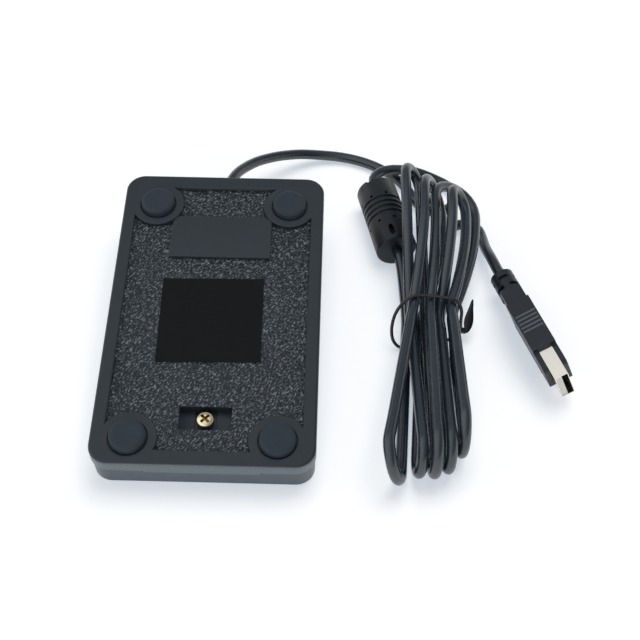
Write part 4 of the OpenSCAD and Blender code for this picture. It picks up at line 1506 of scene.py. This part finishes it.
@dataclass
class Tray:
    """The base tray with its grained recess, its feet and its label."""

    outline_round: float = 0.0009
    rim_round: float = 0.00028
    pad_round: float = 0.00015
    pad_drop: float = 0.00025
    band_height: float = 0.00485
    feet: tuple[str, ...] = ("foot_cable_left", "foot_cable_right", "foot_heel_left", "foot_heel_right")

    def build(self) -> None:
        """Makes the tray, the feet and the label."""
        edges = [
            Rounding(self.outline_round, 5, lambda p: p.z > -LEVEL_SLACK and on_outside(p)),
            Rounding(self.rim_round, 3, lambda p: p.z > -LEVEL_SLACK and not on_outside(p)),
            Rounding(self.pad_round, 2, lambda p: abs(p.z + self.pad_drop) < LEVEL_SLACK),
            Rounding(self.rim_round, 2,
                     lambda p: abs(p.z + self.band_height) < LEVEL_SLACK and on_outside(p))]
        tray = piece_of("base_tray_grained", rounded("base_tray", edges, TO_BASE), Finishes.TRAY)
        weigh_normals(tray)
        settle(tray, Body.BASE, "base_plastic", "base_tray")
        for node in self.feet:
            Foot(node).build()
        Label().build()


@dataclass
class Screw:
    """The pan-head screw with its cross recess, which keeps the tread on the base."""

    along: float = -0.03915
    head_top: float = -0.00135
    head_diameter: float = 0.0052
    head_tall: float = 0.002
    head_edge: float = 0.00015
    dome: float = 0.0007
    dome_steps: int = 8
    dome_power: float = 0.5
    shank: float = 0.0029
    tip: float = -0.01146
    tip_edge: float = 0.0005
    turn_steps: int = 48
    cross_width: float = 0.0009
    cross_length: float = 0.0034
    cross_deep: float = 0.0011
    cross_turn: float = math.radians(45)

    def profile(self) -> list[Span]:
        """Draws the screw's section.

        Returns:
            Radius and height above the rim, from the middle of the tip to the middle of the dome.
        """
        out = self.head_diameter / 2
        shank = self.shank / 2
        bottom = self.head_top - self.head_tall
        points = [(0.0, self.tip), (shank - self.tip_edge, self.tip), (shank, self.tip + self.tip_edge),
                  (shank, bottom), (out - self.head_edge, bottom), (out, bottom + self.head_edge)]
        for step in range(self.dome_steps):
            turn = math.pi / 2 * step / self.dome_steps
            rise = self.head_top - self.dome * (1 - math.sin(turn))
            points.append((out * math.cos(turn) ** self.dome_power, rise))
        return [*points, (0.0, self.head_top)]

    def cross(self) -> Shape:
        """Draws the cross recess.

        Returns:
            What is cut out of the head.
        """
        shape = bmesh.new()
        for turn in (0.0, math.pi / 2):
            arm = (Matrix.Rotation(self.cross_turn + turn, 4, "Z")
                   @ Matrix.Translation((0.0, 0.0, self.head_top))
                   @ Matrix.Diagonal((self.cross_length, self.cross_width, 2 * self.cross_deep, 1.0)))
            bmesh.ops.create_cube(shape, size=1.0, matrix=arm)
        return shape

    def build(self) -> None:
        """Makes the screw, which goes with the tread."""
        screw = piece_of("retaining_screw_brass", lathe(self.profile(), self.turn_steps), Finishes.SCREW)
        # The cross recess takes a darker finish: painted shade
        cut_away(screw, self.cross(), Finishes.RECESS_SHADE)
        screw.data.transform(BASE_LIE @ Matrix.Translation((0.0, self.along, 0.0)))
        settle(screw, Body.PEDAL, "screw_plating", "retaining_screw")


@dataclass
class PedalCover:
    """The tread with its skirt."""

    tread_round: float = 0.0009
    edge_round: float = 0.0002
    skirt_inset: float = 0.0004

    def build(self) -> None:
        """Makes the cover and the screw on it."""
        edges = [Rounding(self.tread_round, 4, self.on_tread_edge),
                 Rounding(self.edge_round, 2, self.on_skirt)]
        cover = piece_of("pedal_cover_satin", rounded("pedal_cover", edges, TO_BASE), Finishes.PEDAL)
        weigh_normals(cover)
        settle(cover, Body.PEDAL, "pedal_plastic", "pedal_cover")
        Screw().build()

    def on_skirt(self, point: Vector) -> bool:
        """Whether a point of the base's frame is on the skirt's outside."""
        return on_outside(point, self.skirt_inset)

    def on_tread_edge(self, point: Vector) -> bool:
        """Whether a point of the base's frame is where the skirt meets the tread."""
        return self.on_skirt(point) and (BASE_LIE @ point).z < LEVEL_SLACK


@dataclass
class ReturnSpring:
    """Coil spring that pushes the tread away from the base, and shortens as the tread goes down."""

    radius: float = 0.004
    wire: float = 0.0008
    along: float = -0.012
    low: float = -0.01423
    high: float = -0.004005
    turns: int = 6
    steps: int = 24
    roundness: int = 3
    keep: float = 0.842

    def build(self) -> None:
        """Winds the spring and puts it on the base."""
        count = self.turns * self.steps
        line = []
        for step in range(count + 1):
            turn = math.tau * step / self.steps
            rise = self.low + (self.high - self.low) * step / count
            aside, along = self.radius * math.cos(turn), self.along + self.radius * math.sin(turn)
            line.append(BASE_LIE @ Vector((aside, along, rise)))
        coil = as_mesh(tube_piece("return_spring_coil", line, self.wire, Finishes.STEEL, self.roundness))
        settle(coil, Body.BASE, "pin_steel", "return_spring")
        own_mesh(coil)


@dataclass
class InnerLeads:
    """Four coloured leads that fan out from the strain relief and turn up into the header."""

    diameter: float = 0.0011
    roundness: int = 4
    relief: Point = (0.0, 0.0491, -0.0092)
    fan_pitch: float = 0.0013
    header: Point = (0.004, 0.0247, -0.012786)
    header_pitch: float = 0.0025
    line_step: float = 0.0006
    # Share of the way across, and places along and up from the relief or from the header
    leaving: tuple[Point, ...] = ((0.0, 0.0, 0.0), (0.0, -0.002, 0.0), (0.15, -0.007, -0.0025))
    arriving: tuple[Point, ...] = ((0.55, 0.0104, -0.0012), (1.0, 0.003, -0.0019), (1.0, 0.0009, -0.0016),
                                   (1.0, 0.0, -0.0006), (1.0, 0.0, 0.0024))

    def route(self, lead: int) -> list[Vector]:
        """The points that a lead passes, in the base's frame.

        Args:
            lead: Which lead it is.

        Returns:
            The points, from the relief to the header.
        """
        count = lead - (len(Finishes.LEADS) - 1) / 2
        start = self.relief[0] + count * self.fan_pitch
        end = self.header[0] + count * self.header_pitch
        points = []
        for (_, along, height), steps in ((self.relief, self.leaving), (self.header, self.arriving)):
            points += [Vector((start + (end - start) * share, along + aside, height + up))
                       for share, aside, up in steps]
        return points

    def build(self) -> None:
        """Lays the leads."""
        for lead, finish in enumerate(Finishes.LEADS):
            line = [BASE_LIE @ point for point in smooth_route(self.route(lead), self.line_step)]
            piece = tube_piece(finish.name + "_wire", line, self.diameter, finish, self.roundness)
            settle(piece, Body.BASE, "lead_insulation", "inner_leads")


class InnerWorks:
    """What is inside: hinge pins, spring, board, switch and leads."""

    FINISHES: ClassVar[dict[str, Finish]] = {
        "hinge_pin_left": Finishes.STEEL, "hinge_pin_right": Finishes.STEEL, "board_screws": Finishes.STEEL,
        "circuit_board": Finishes.BOARD, "switch_body": Finishes.SWITCH, "switch_lever": Finishes.STEEL,
        "switch_terminals": Finishes.TERMINAL, "switch_plunger": Finishes.CREAM,
        "controller_chip": Finishes.SWITCH, "crystal_can": Finishes.CAN, "filter_capacitor": Finishes.SWITCH,
        "wire_header": Finishes.CREAM, "cable_relief": Finishes.JACKET}

    def build(self) -> None:
        """Dresses the solids that keep their own shape, and makes the spring and the leads."""
        for node, finish in self.FINISHES.items():
            paint(node, finish)
        ReturnSpring().build()
        InnerLeads().build()


def main() -> None:
    """Builds the studio and every piece, the cable first."""
    logging.basicConfig(level=logging.INFO, format="%(message)s")
    Studio().build()
    bead = Bead()
    plug = Plug()
    on_cable = [*bead.build(), *Tie().build(), *plug.build()]
    Cable().build(bead, plug, on_cable)
    Tray().build()
    PedalCover().build()
    InnerWorks().build()


if __name__ == "__main__":
    main()
